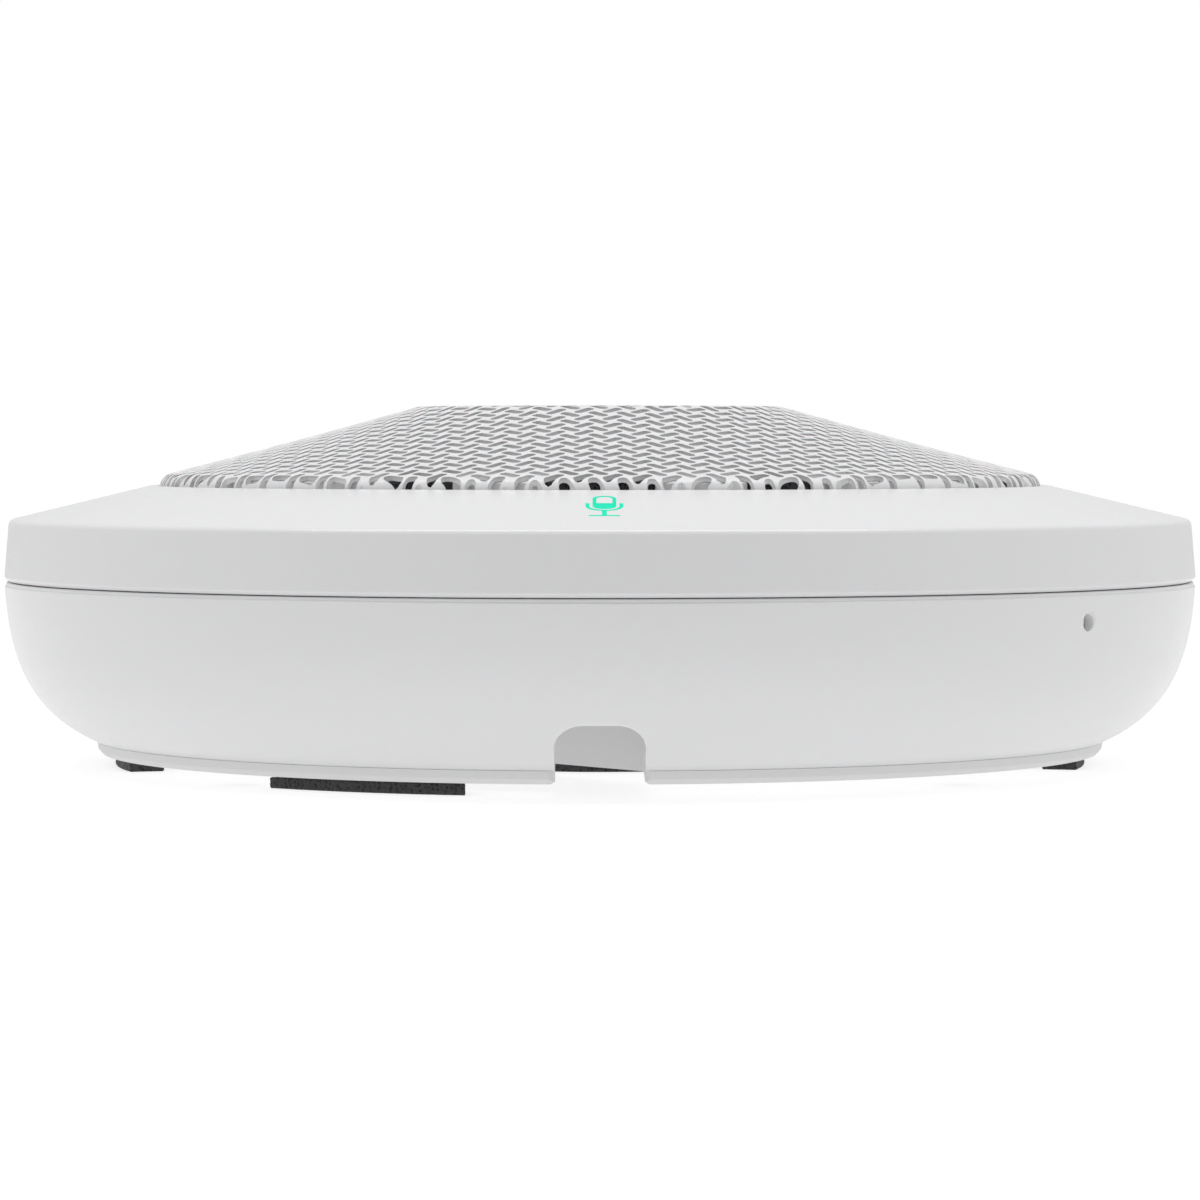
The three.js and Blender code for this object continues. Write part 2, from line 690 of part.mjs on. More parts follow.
// The half-roll ring that joins the cone to the basket.
function surround() {
  const bottom = DRIVER_FLANGE_TOP + GAP;
  const middle = 33.8;
  const arch = (radius, from, to) => {
    const start = radians(from);
    const end = radians(to);
    return new THREE.EllipseCurve(middle, bottom, radius, radius, start, end, from > to).getPoints(4);
  };
  return revolve(
    [
      new THREE.Vector2(29, bottom),
      ...arch(2.2, 180, 0),
      new THREE.Vector2(38.2, bottom),
      new THREE.Vector2(38.2, bottom + 0.5),
      new THREE.Vector2(middle + 2.75, bottom + 0.5),
      ...arch(2.7, 12, 168),
      new THREE.Vector2(middle - 2.75, bottom + 0.5),
      new THREE.Vector2(29, bottom + 0.5),
    ],
    INNER_SEGMENTS,
  );
}

function addLoudspeaker() {
  addPiece("chamber_lid", chamberLid(), "blackPlastic");
  addPiece("chamber_cup", chamberCup(), "blackPlastic");
  addPiece("driver_basket", driverBasket(), "steel");
  addPiece("driver_gasket", driverGasket(), "blackFoam");
  addPiece("driver_magnet_ring", ring(11, 25, 34.5, 42.4), "ferrite");
  addPiece("driver_front_plate", ring(9.8, 23, 42.7, 45.7), "steel");
  addPiece("driver_yoke", yoke(), "steel");
  addPiece("driver_spider", ring(9.7, 24.8, 49, 49.8), "paperCone");
  addPiece("driver_surround", surround(), "rubber");
  addPiece("speaker_cone", speakerCone(), "paperCone");
  addPiece("dust_cap", dustCap(), "rubber");
  addPiece("voice_coil", ring(8.5, 9.3, 39.5, 57, 20), "copper");
  QUARTER_ANGLES.forEach((angle, i) => {
    const [x, y] = onCircle(DRIVER_SCREW_CIRCLE, angle);
    const bottom = DRIVER_FLANGE_TOP + GAP;
    const shape = screw(1.9, 1, bottom, bottom + 1.4, BAFFLE_TOP - 1.8);
    addPiece(`driver_screw_${i + 1}`, shape.translate(x, y, 0), "steel");
  });
  const lead = new THREE.CatmullRomCurve3([
    new THREE.Vector3(45, 0, BOARD_TOP + GAP),
    new THREE.Vector3(45, 0, 28),
    new THREE.Vector3(44.5, 0, 38),
    new THREE.Vector3(38, 0, 47.5),
    new THREE.Vector3(30.5, 0, 51.5),
  ]);
  const section = new THREE.Shape().absarc(0, 0, 0.9, 0, 2 * Math.PI);
  const sweep = { steps: 16, curveSegments: 4, bevelEnabled: false, extrudePath: lead };
  addPiece("speaker_lead", new THREE.ExtrudeGeometry(section, sweep), "rubber");
}

// ---- electronics ------------------------------------------------------------------------------------

function mainBoard() {
  const holes = BOARD_SCREW_ANGLES.map((angle) =>
    upright(1.6, BOARD_BOTTOM - 1, BOARD_TOP + 1, ...onCircle(BOARD_SCREW_CIRCLE, angle)),
  );
  return cut(upright(BOARD_RADIUS, BOARD_BOTTOM, BOARD_TOP, 0, 0, INNER_SEGMENTS), ...holes);
}

function addElectronics() {
  addPiece("main_board", mainBoard(), "board");
  addPiece("processor", block(-8.5, 8.5, -8.5, 8.5, BOARD_TOP + GAP, 24.4), "blackPlastic");
  addPiece("heat_spreader", block(-20, 20, -20, 20, 24.7, 25.6), "aluminium");
  const socketTop = BOARD_BOTTOM - GAP;
  const socketFront = BAY_END + BAY_WALL + GAP;
  const lanSocket = cut(
    block(-49, -33, socketFront, socketFront + 21, 7.2, socketTop),
    block(-46.9, -35.1, socketFront - 1, socketFront + 15, 8.6, 16.6),
  );
  addPiece("lan_socket", lanSocket, "steel");
  const usbSocket = cut(
    block(-60, -51, socketFront, socketFront + 8, 13.8, socketTop),
    block(-59.7, -51.3, socketFront - 1, socketFront + 6, 14.7, 17.3),
  );
  addPiece("usb_socket", usbSocket, "steel");
  BOARD_SCREW_ANGLES.forEach((angle, i) => {
    const [x, y] = onCircle(BOARD_SCREW_CIRCLE, angle);
    const bottom = BOARD_TOP + GAP;
    const shape = screw(2.6, 1.2, bottom, bottom + 1.6, 13);
    addPiece(`board_screw_${i + 1}`, shape.translate(x, y, 0), "steel");
  });
  addPiece("mic_board", ring(MIC_BOARD_INNER, MIC_FOAM_OUTER, RING_BOTTOM, RING_BOTTOM + 1.2), "board");
  addPiece("mic_foam_ring", micFoamRing(), "blackFoam");
  for (let i = 0; i < 4; i += 1) {
    const capsule = block(-1.75, 1.75, -71.4, -68.8, MIC_FOAM_BOTTOM, MIC_FOAM_BOTTOM + 1.1);
    addPiece(`microphone_${i + 1}`, capsule.rotateZ(radians(45 + 90 * i)), "steel");
  }
  const ribbon = block(-6, 6, 67, 67.4, BOARD_TOP + GAP, RING_BOTTOM - GAP);
  addPiece("mic_ribbon_cable", ribbon, "whiteInner");
}

// The symbol's two inlays, the light guide under them and the small board with their LEDs.
function addSymbol() {
  const half = 2.16 - SYMBOL_STROKE;
  const round = half - 0.01;
  const hollow = outline([[-half, 1.97], [half, 1.97], [half, 6.65, round], [-half, 6.65, round]], 6);
  const capsule = prism(capsuleOutline(0), -SYMBOL_THICKNESS, 0, [hollow]);
  addPiece("symbol_capsule_inlay", onSlope(capsule), "symbolLight");
  const cradle = prism(cradleOutline(0), -SYMBOL_THICKNESS, 0);
  addPiece("symbol_cradle_inlay", onSlope(cradle), "symbolLight");
  const guideTop = -BEZEL_WALL - GAP;
  const guide = block(-4.5, 4.5, -7.8, 7.8, guideTop - 1, guideTop);
  addPiece("symbol_light_guide", onSlope(guide), "whiteInner");
  addPiece("symbol_led_board", onSlope(block(-6, 6, -8, 8, guideTop - 2.3, guideTop - 1.3)), "board");
}

function addResetButton() {
  const button = join(
    spoke(1.35, 108, 117.6, RESET_HEIGHT, RESET_ANGLE, 16),
    spoke(2.6, 110.2, 111.7, RESET_HEIGHT, RESET_ANGLE, 16),
  );
  addPiece("reset_button", button, "whiteInner");
  const low = RESET_HEIGHT - 3;
  const high = RESET_HEIGHT + 3;
  const body = block(-3, 3, -107.4, -103.9, low, high).rotateZ(radians(RESET_ANGLE));
  addPiece("reset_switch", body, "blackPlastic");
  const board = block(-6, 6, -103.6, -102, low - 3, high + 3).rotateZ(radians(RESET_ANGLE));
  addPiece("reset_board", board, "board");
}

// ---- assembly ---------------------------------------------------------------------------------------

const around = (middle, halfSpan) => [middle - halfSpan, middle + halfSpan];
const centrePad = upright(CENTRE_PAD_RADIUS, 0, PAD_TOP, 0, 0, INNER_SEGMENTS);
addPiece("foot_pad_front", arcPad(FRONT_PAD_OUTER, FRONT_PAD_INNER), "blackFoam");
addPiece("foot_pad_right", arcPad(around(90, PAD_HALF_SPAN)), "blackFoam");
addPiece("foot_pad_rear", arcPad(around(180, PAD_HALF_SPAN)), "blackFoam");
addPiece("foot_pad_left", arcPad(around(270, LEFT_PAD_HALF_SPAN)), "blackFoam");
addPiece("foot_pad_centre", centrePad, "blackFoam");
addPiece("base_plate", basePlate(), "whiteInner");
addPiece("lower_housing", lowerHousing(), "whiteShell");
addPiece("top_bezel", topBezel(), "whiteShell");
addPiece("grille_dome", grilleDome(), "whiteShell");
addPiece("grille_liner", grilleLiner(), "greyCloth");
addPiece("grille_carrier", grilleCarrier(), "whiteInner");
QUARTER_ANGLES.forEach((angle, i) => {
  const [x, y] = onCircle(BASE_SCREW_CIRCLE, angle);
  const profile = outline([
    [0, BASE_SCREW_HEAD],
    [3, BASE_SCREW_HEAD],
    [1.3, BASE_SCREW_SINK],
    [1.3, 16],
    [0, 16],
  ]);
  addPiece(`base_screw_${i + 1}`, revolve(profile, SMALL_SEGMENTS).translate(x, y, 0), "steel");
});
LID_SCREW_ANGLES.forEach((angle, i) => {
  const [x, y] = onCircle(LID_SCREW_CIRCLE, angle);
  const shape = screw(2.4, 1, LID_BOTTOM - GAP, 46, 51.8);
  addPiece(`lid_screw_${i + 1}`, shape.translate(x, y, 0), "steel");
});
addSymbol();
addResetButton();
addElectronics();
addLoudspeaker();

export default speakerphone;
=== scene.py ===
"""Looks of a round table-top conference speakerphone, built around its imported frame.

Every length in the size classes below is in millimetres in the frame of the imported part: +Z up, the origin at
the centre of the table contact, the cable notch towards -Y. Meshes are made in metres by the MM factor.
"""

import logging
import math
from collections.abc import Callable, Iterable, Sequence
from dataclasses import dataclass, field
from enum import Enum

import bmesh
import bpy
from mathutils import Matrix, Vector


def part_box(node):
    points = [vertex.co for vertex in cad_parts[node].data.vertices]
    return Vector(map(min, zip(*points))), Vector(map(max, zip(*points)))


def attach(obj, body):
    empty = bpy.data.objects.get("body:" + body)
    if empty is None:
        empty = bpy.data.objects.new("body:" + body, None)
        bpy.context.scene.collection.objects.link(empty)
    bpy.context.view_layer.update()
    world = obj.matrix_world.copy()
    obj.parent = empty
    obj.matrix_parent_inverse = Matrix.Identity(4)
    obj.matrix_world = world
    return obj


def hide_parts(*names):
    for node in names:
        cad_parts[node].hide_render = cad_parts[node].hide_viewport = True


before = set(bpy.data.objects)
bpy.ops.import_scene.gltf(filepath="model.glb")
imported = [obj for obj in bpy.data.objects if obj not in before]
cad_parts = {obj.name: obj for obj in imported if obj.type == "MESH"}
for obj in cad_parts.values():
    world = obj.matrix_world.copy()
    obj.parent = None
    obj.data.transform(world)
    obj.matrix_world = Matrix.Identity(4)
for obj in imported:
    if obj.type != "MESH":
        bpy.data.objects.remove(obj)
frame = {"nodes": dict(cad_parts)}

LOG = logging.getLogger("speakerphone")
MM = 0.001
Point = tuple[float, float]
Corner = tuple[float, ...]


class Body(Enum):
    """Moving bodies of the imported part."""

    HOUSING = "housing"
    CONE = "cone"
    RESET = "reset"


class Slot(Enum):
    """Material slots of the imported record."""

    WHITE_SHELL = "white_shell"
    WHITE_GRILLE = "white_grille"
    WHITE_INNER = "white_inner"
    BLACK_FOAM = "black_foam"
    GREY_CLOTH = "grey_cloth"
    BLACK_PLASTIC = "black_plastic"
    STEEL = "steel"
    SOCKET_STEEL = "socket_steel"
    BASKET_STEEL = "basket_steel"
    SYMBOL_LIGHT = "symbol_light"
    CIRCUIT_BOARD = "circuit_board"
    ALUMINIUM = "aluminium"
    FERRITE = "ferrite"
    RUBBER = "rubber"
    CONE_PAPER = "cone_paper"
    COPPER = "copper"


# ---- node trees -------------------------------------------------------------------------------------


class Tree:
    """A short way to write a node tree: nodes are made by type and linked as they are made."""

    def __init__(self, tree: bpy.types.NodeTree) -> None:
        """Wraps an existing node tree."""
        self.tree = tree

    def add(self, kind: str, inputs: dict[int | str, object] | None = None,
            **settings: object) -> bpy.types.Node:
        """Adds a node.

        Args:
            kind: The node's type name.
            inputs: Values or sockets for its inputs, by index or name.
            **settings: The node's own properties.

        Returns:
            The new node.
        """
        node = self.tree.nodes.new(kind)
        for name, value in settings.items():
            setattr(node, name, value)
        for key, value in (inputs or {}).items():
            if isinstance(value, bpy.types.NodeSocket):
                self.tree.links.new(value, node.inputs[key])
            else:
                node.inputs[key].default_value = value
        return node

    def math(self, operation: str, first: object, second: object = 0.0) -> bpy.types.NodeSocket:
        """Adds a Math node, in a shader tree or a geometry tree, and returns its output."""
        return self.add("ShaderNodeMath", {0: first, 1: second}, operation=operation).outputs[0]

    def mix(self, factor: object, first: object, second: object) -> bpy.types.NodeSocket:
        """Adds a colour Mix node and returns its colour output."""
        node = self.add("ShaderNodeMix", {0: factor, 6: first, 7: second}, data_type="RGBA")
        return node.outputs[2]

    def ramp(self, value: object, low: float, high: float) -> bpy.types.NodeSocket:
        """Stretches a value from low..high to 0..1, clamped, and returns the output."""
        return self.add("ShaderNodeMapRange", {0: value, 1: low, 2: high}).outputs[0]


def new_group(name: str, kind: str, sockets: Sequence[tuple[str, str, str, object]]) -> bpy.types.NodeTree:
    """Makes an empty node group with its interface.

    Args:
        name: The group's name.
        kind: ShaderNodeTree or GeometryNodeTree.
        sockets: One (name, INPUT or OUTPUT, socket type, default or None) for each socket.

    Returns:
        The new group.
    """
    group = bpy.data.node_groups.new(name, kind)
    for label, way, socket_type, default in sockets:
        socket = group.interface.new_socket(label, in_out=way, socket_type=socket_type)
        if default is not None:
            socket.default_value = default
    return group


class Effects:
    """Shader effects that several finishes share, each built once as a node group."""

    def __init__(self) -> None:
        """Builds the groups."""
        self.grain = self._build_grain()
        self.tone = self._build_tone()
        self.dust = self._build_dust()
        self.wear = self._build_wear()

    @staticmethod
    def _build_grain() -> bpy.types.NodeTree:
        """Builds the fine spark-eroded texture of a mould: a height from -1 to 1.

        Returns:
            A group with inputs Scale and Softness and the output Height.
        """
        group = new_group("mould_grain", "ShaderNodeTree", [
            ("Scale", "INPUT", "NodeSocketFloat", 2500.0),
            ("Softness", "INPUT", "NodeSocketFloat", 0.5),
            ("Height", "OUTPUT", "NodeSocketFloat", None),
        ])
        tree = Tree(group)
        into = tree.add("NodeGroupInput")
        where = tree.add("ShaderNodeTexCoord").outputs["Object"]
        fine = tree.add("ShaderNodeTexNoise", {"Vector": where, "Scale": into.outputs[0], "Detail": 3.0,
                                               "Roughness": into.outputs[1]}, noise_dimensions="3D")
        half_scale = tree.math("MULTIPLY", into.outputs[0], 0.31)
        pits = tree.add("ShaderNodeTexVoronoi", {"Vector": where, "Scale": half_scale}, feature="SMOOTH_F1")
        mixed = tree.math("ADD", fine.outputs["Fac"], tree.math("MULTIPLY", pits.outputs["Distance"], 0.4))
        tree.add("NodeGroupOutput", {0: mixed})
        return group

    @staticmethod
    def _build_tone() -> bpy.types.NodeTree:
        """Builds slow changes of tone: two noises far apart in scale.

        Returns:
            A group with the input Scale and the output Mask, around 0.5.
        """
        group = new_group("slow_tone", "ShaderNodeTree", [
            ("Scale", "INPUT", "NodeSocketFloat", 12.0),
            ("Mask", "OUTPUT", "NodeSocketFloat", None),
        ])
        tree = Tree(group)
        into = tree.add("NodeGroupInput")
        where = tree.add("ShaderNodeTexCoord").outputs["Object"]
        wide = tree.add("ShaderNodeTexNoise", {"Vector": where, "Scale": into.outputs[0], "Detail": 2.0})
        near_scale = tree.math("MULTIPLY", into.outputs[0], 9.0)
        near = tree.add("ShaderNodeTexNoise", {"Vector": where, "Scale": near_scale, "Detail": 3.0})
        mixed = tree.math("ADD", tree.math("MULTIPLY", wide.outputs["Fac"], 0.65),
                          tree.math("MULTIPLY", near.outputs["Fac"], 0.35))
        tree.add("NodeGroupOutput", {0: mixed})
        return group

    @staticmethod
    def _build_dust() -> bpy.types.NodeTree:
        """Builds a faint dust that settles on faces that look up.

        Returns:
            A group with inputs Amount and Scale and the output Mask.
        """
        group = new_group("settled_dust", "ShaderNodeTree", [
            ("Amount", "INPUT", "NodeSocketFloat", 0.1),
            ("Scale", "INPUT", "NodeSocketFloat", 300.0),
            ("Mask", "OUTPUT", "NodeSocketFloat", None),
        ])
        tree = Tree(group)
        into = tree.add("NodeGroupInput")
        where = tree.add("ShaderNodeTexCoord").outputs["Object"]
        normal = tree.add("ShaderNodeNewGeometry").outputs["Normal"]
        up = tree.add("ShaderNodeSeparateXYZ", {0: normal}).outputs[2]
        specks = tree.add("ShaderNodeTexNoise", {"Vector": where, "Scale": into.outputs[1], "Detail": 6.0})
        spread = tree.ramp(specks.outputs["Fac"], 0.48, 0.75)
        faces_up = tree.ramp(up, 0.5, 1.0)
        mask = tree.math("MULTIPLY", tree.math("MULTIPLY", spread, faces_up), into.outputs[0])
        tree.add("NodeGroupOutput", {0: mask})
        return group

    @staticmethod
    def _build_wear() -> bpy.types.NodeTree:
        """Builds edge wear from the surface's own convexity.

        Returns:
            A group with inputs Amount and Scale and the output Mask.
        """
        group = new_group("edge_wear", "ShaderNodeTree", [
            ("Amount", "INPUT", "NodeSocketFloat", 0.5),
            ("Scale", "INPUT", "NodeSocketFloat", 400.0),
            ("Mask", "OUTPUT", "NodeSocketFloat", None),
        ])
        tree = Tree(group)
        into = tree.add("NodeGroupInput")
        where = tree.add("ShaderNodeTexCoord").outputs["Object"]
        pointy = tree.add("ShaderNodeNewGeometry").outputs["Pointiness"]
        edge = tree.ramp(pointy, 0.52, 0.6)
        broken = tree.add("ShaderNodeTexNoise", {"Vector": where, "Scale": into.outputs[1], "Detail": 4.0})
        mask = tree.math("MULTIPLY", tree.math("MULTIPLY", edge, broken.outputs["Fac"]), into.outputs[0])
        tree.add("NodeGroupOutput", {0: mask})
        return group


# ---- finishes ---------------------------------------------------------------------------------------


@dataclass(frozen=True)
class Finish:
    """One material: its colours, gloss and surface detail.

    Colours are linear. Grain depth is in metres of bump distance.
    """

    name: str
    colour: tuple[float, float, float]
    second_colour: tuple[float, float, float]
    roughness: float
    roughness_spread: float = 0.05
    metallic: float = 0.0
    grain_scale: float = 2500.0
    grain_depth: float = 0.00001
    grain_softness: float = 0.5
    tone_scale: float = 12.0
    dust: float = 0.0
    wear: float = 0.0
    wear_colour: tuple[float, float, float] = (0.8, 0.8, 0.8)
    coat: float = 0.0
    sheen: float = 0.0
    ior: float = 1.5
    subsurface: float = 0.0

    def start(self, effects: Effects) -> tuple[bpy.types.Material, Tree, bpy.types.Node]:
        """Makes the material with its Principled BSDF, tone, dust, wear and grain.

        Args:
            effects: The shared node groups.

        Returns:
            The material, its tree and its shader node.
        """
        material = bpy.data.materials.new(self.name)
        material.use_nodes = True
        tree = Tree(material.node_tree)
        tree.tree.nodes.clear()
        tone = self._group(tree, effects.tone, {"Scale": self.tone_scale})
        colour = tree.mix(tree.ramp(tone, 0.3, 0.7), (*self.colour, 1.0), (*self.second_colour, 1.0))
        if self.dust > 0.0:
            dust = self._group(tree, effects.dust, {"Amount": self.dust})
            colour = tree.mix(dust, colour, (0.62, 0.6, 0.57, 1.0))
        if self.wear > 0.0:
            wear = self._group(tree, effects.wear, {"Amount": self.wear})
            colour = tree.mix(wear, colour, (*self.wear_colour, 1.0))
        spread = tree.math("MULTIPLY", tree.math("SUBTRACT", tone, 0.5), self.roughness_spread * 4.0)
        roughness = tree.math("ADD", spread, self.roughness)
        grain = self._group(tree, effects.grain, {"Scale": self.grain_scale, "Softness": self.grain_softness})
        bump = tree.add("ShaderNodeBump", {"Height": grain, "Distance": self.grain_depth, "Strength": 1.0})
        shader = tree.add("ShaderNodeBsdfPrincipled", {
            "Base Color": colour,
            "Roughness": roughness,
            "Normal": bump.outputs[0],
            "Metallic": self.metallic,
            "IOR": self.ior,
            "Coat Weight": self.coat,
            "Sheen Weight": self.sheen,
            "Subsurface Weight": self.subsurface,
            "Subsurface Scale": 0.002,
        })
        output = tree.add("ShaderNodeOutputMaterial")
        tree.tree.links.new(shader.outputs[0], output.inputs[0])
        return material, tree, shader

    @staticmethod
    def _group(tree: Tree, group: bpy.types.NodeTree, values: dict[str, float]) -> bpy.types.NodeSocket:
        """Places a shared group in a material and returns its first output.

        Args:
            tree: The material's tree.
            group: The shared group.
            values: Its inputs, by name.

        Returns:
            The group's first output.
        """
        node = tree.tree.nodes.new("ShaderNodeGroup")
        node.node_tree = group
        for name, value in values.items():
            node.inputs[name].default_value = value
        return node.outputs[0]

    def build(self, effects: Effects) -> bpy.types.Material:
        """Makes the material and returns it."""
        return self.start(effects)[0]


@dataclass(frozen=True)
class FoamFinish(Finish):
    """Open-cell foam: the plain finish with cells cut into the normal, and painted shade that darkens each
    pore.
    """

    cell_scale: float = 1400.0

    def build(self, effects: Effects) -> bpy.types.Material:
        """Adds the cells and the painted shade in them.

        Args:
            effects: The shared node groups.

        Returns:
            The material.
        """
        material, tree, shader = self.start(effects)
        where = tree.add("ShaderNodeTexCoord").outputs["Object"]
        cells = tree.add("ShaderNodeTexVoronoi", {"Vector": where, "Scale": self.cell_scale})
        open_cell = tree.ramp(cells.outputs["Distance"], 0.1, 0.55)
        under = shader.inputs["Base Color"].links[0].from_socket
        # Painted shade: each pore's middle, where the bump sinks, goes almost black.
        colour = tree.mix(open_cell, (0.006, 0.006, 0.007, 1.0), under)
        tree.tree.links.new(colour, shader.inputs["Base Color"])
        bump = tree.add("ShaderNodeBump", {"Height": open_cell, "Distance": 0.00025, "Strength": 0.9})
        tree.tree.links.new(bump.outputs[0], shader.inputs["Normal"])
        return material


@dataclass(frozen=True)
class ClothFinish(Finish):
    """Thin woven cloth: warp and weft from two wave textures across X and Y."""

    threads: float = 1900.0

    def build(self, effects: Effects) -> bpy.types.Material:
        """Adds the weave.

        Args:
            effects: The shared node groups.

        Returns:
            The material.
        """
        material, tree, shader = self.start(effects)
        where = tree.add("ShaderNodeTexCoord").outputs["Object"]
        axes = tree.add("ShaderNodeSeparateXYZ", {0: where})
        warp = tree.math("SINE", tree.math("MULTIPLY", axes.outputs[0], self.threads * 2.0))
        weft = tree.math("SINE", tree.math("MULTIPLY", axes.outputs[1], self.threads * 2.0))
        weave = tree.ramp(tree.math("MULTIPLY", warp, weft), -1.0, 1.0)
        under = shader.inputs["Base Color"].links[0].from_socket
        tree.tree.links.new(tree.mix(weave, (*self.second_colour, 1.0), under), shader.inputs["Base Color"])
        bump = tree.add("ShaderNodeBump", {"Height": weave, "Distance": 0.00008, "Strength": 0.7})
        tree.tree.links.new(bump.outputs[0], shader.inputs["Normal"])
        return material


@dataclass(frozen=True)
class GrillePaintedShadeFinish(Finish):
    """The grille's white, with painted shade on the upright walls inside its slots, darkest right under their
    rims.

    The lengths are in metres and give the dome's cone, so that the depth below it is known.
    """

    # Painted shade: the slot walls' grey right under the rims, and the lighter grey further down.
    rim_shade: tuple[float, float, float] = (0.44, 0.44, 0.445)
    deep_shade: tuple[float, float, float] = (0.8, 0.8, 0.805)
    shade_depth: float = 0.0008
    skirt_radius: float = 0.0887
    top: float = 0.072
    cone_start: float = 0.03657
    cone_fall: float = 0.287
    cone_ease: float = 0.37

    def build(self, effects: Effects) -> bpy.types.Material:
        """Adds the painted shade in the slots.

        Args:
            effects: The shared node groups.

        Returns:
            The material.
        """
        material, tree, shader = self.start(effects)
        where = tree.add("ShaderNodeTexCoord").outputs["Object"]
        axes = tree.add("ShaderNodeSeparateXYZ", {0: where}).outputs
        across = tree.add("ShaderNodeCombineXYZ", {0: axes[0], 1: axes[1]})
        radius = tree.add("ShaderNodeVectorMath", {0: across.outputs[0]}, operation="LENGTH").outputs["Value"]
        normal = tree.add("ShaderNodeNewGeometry").outputs["Normal"]
        up = tree.math("ABSOLUTE", tree.add("ShaderNodeSeparateXYZ", {0: normal}).outputs[2])
        # Painted shade: upright faces inside the skirt take a grey that lightens with depth below the cone.
        wall = tree.math("MULTIPLY", tree.ramp(up, 0.45, 0.25),
                         tree.math("LESS_THAN", radius, self.skirt_radius))
        out = tree.math("MAXIMUM", tree.math("SUBTRACT", radius, self.cone_start), 0.0)
        fall = tree.math("SUBTRACT", self.cone_fall, tree.math("MULTIPLY", out, self.cone_ease))
        surface = tree.math("SUBTRACT", self.top, tree.math("MULTIPLY", out, fall))
        depth = tree.ramp(tree.math("SUBTRACT", surface, axes[2]), 0.0, self.shade_depth)
        shade = tree.mix(depth, (*self.rim_shade, 1.0), (*self.deep_shade, 1.0))
        under = shader.inputs["Base Color"].links[0].from_socket
        tree.tree.links.new(tree.mix(wall, under, shade), shader.inputs["Base Color"])
        return material


@dataclass(frozen=True)
class BoardFinish(Finish):
    """Solder-masked board: copper tracks under the mask and rows of bright pads."""

    def build(self, effects: Effects) -> bpy.types.Material:
        """Adds tracks and pads.

        Args:
            effects: The shared node groups.

        Returns:
            The material.
        """
        material, tree, shader = self.start(effects)
        where = tree.add("ShaderNodeTexCoord").outputs["Object"]
        tracks = tree.add("ShaderNodeTexVoronoi", {"Vector": where, "Scale": 260.0, "Randomness": 0.35},
                          feature="DISTANCE_TO_EDGE", distance="EUCLIDEAN", voronoi_dimensions="3D")
        line = tree.ramp(tracks.outputs[0], 0.05, 0.02)
        pads = tree.add("ShaderNodeTexVoronoi", {"Vector": where, "Scale": 420.0, "Randomness": 0.2})
        pad = tree.ramp(pads.outputs["Distance"], 0.16, 0.13)
        under = shader.inputs["Base Color"].links[0].from_socket
        tracked = tree.mix(tree.math("MULTIPLY", line, 0.55), under, (0.05, 0.30, 0.12, 1.0))
        tree.tree.links.new(tree.mix(pad, tracked, (0.72, 0.68, 0.6, 1.0)), shader.inputs["Base Color"])
        tree.tree.links.new(tree.math("MULTIPLY", pad, 0.9), shader.inputs["Metallic"])
        return material


@dataclass(frozen=True)
class LitFinish(Finish):
    """A lit translucent inlay: brighter over its lamps, a little dimmer between them."""

    glow: tuple[float, float, float] = (0.0, 0.8, 0.5)
    strength: float = 1.0

    def build(self, effects: Effects) -> bpy.types.Material:
        """Adds the light.

        Args:
            effects: The shared node groups.

        Returns:
            The material.
        """
        material, tree, shader = self.start(effects)
        where = tree.add("ShaderNodeTexCoord").outputs["Object"]
        lamps = tree.add("ShaderNodeTexNoise", {"Vector": where, "Scale": 90.0, "Detail": 1.0})
        dim = tuple(channel * 0.86 for channel in self.glow)
        light = tree.mix(tree.ramp(lamps.outputs["Fac"], 0.35, 0.65), (*dim, 1.0), (*self.glow, 1.0))
        tree.tree.links.new(light, shader.inputs["Emission Color"])
        shader.inputs["Emission Strength"].default_value = self.strength
        return material


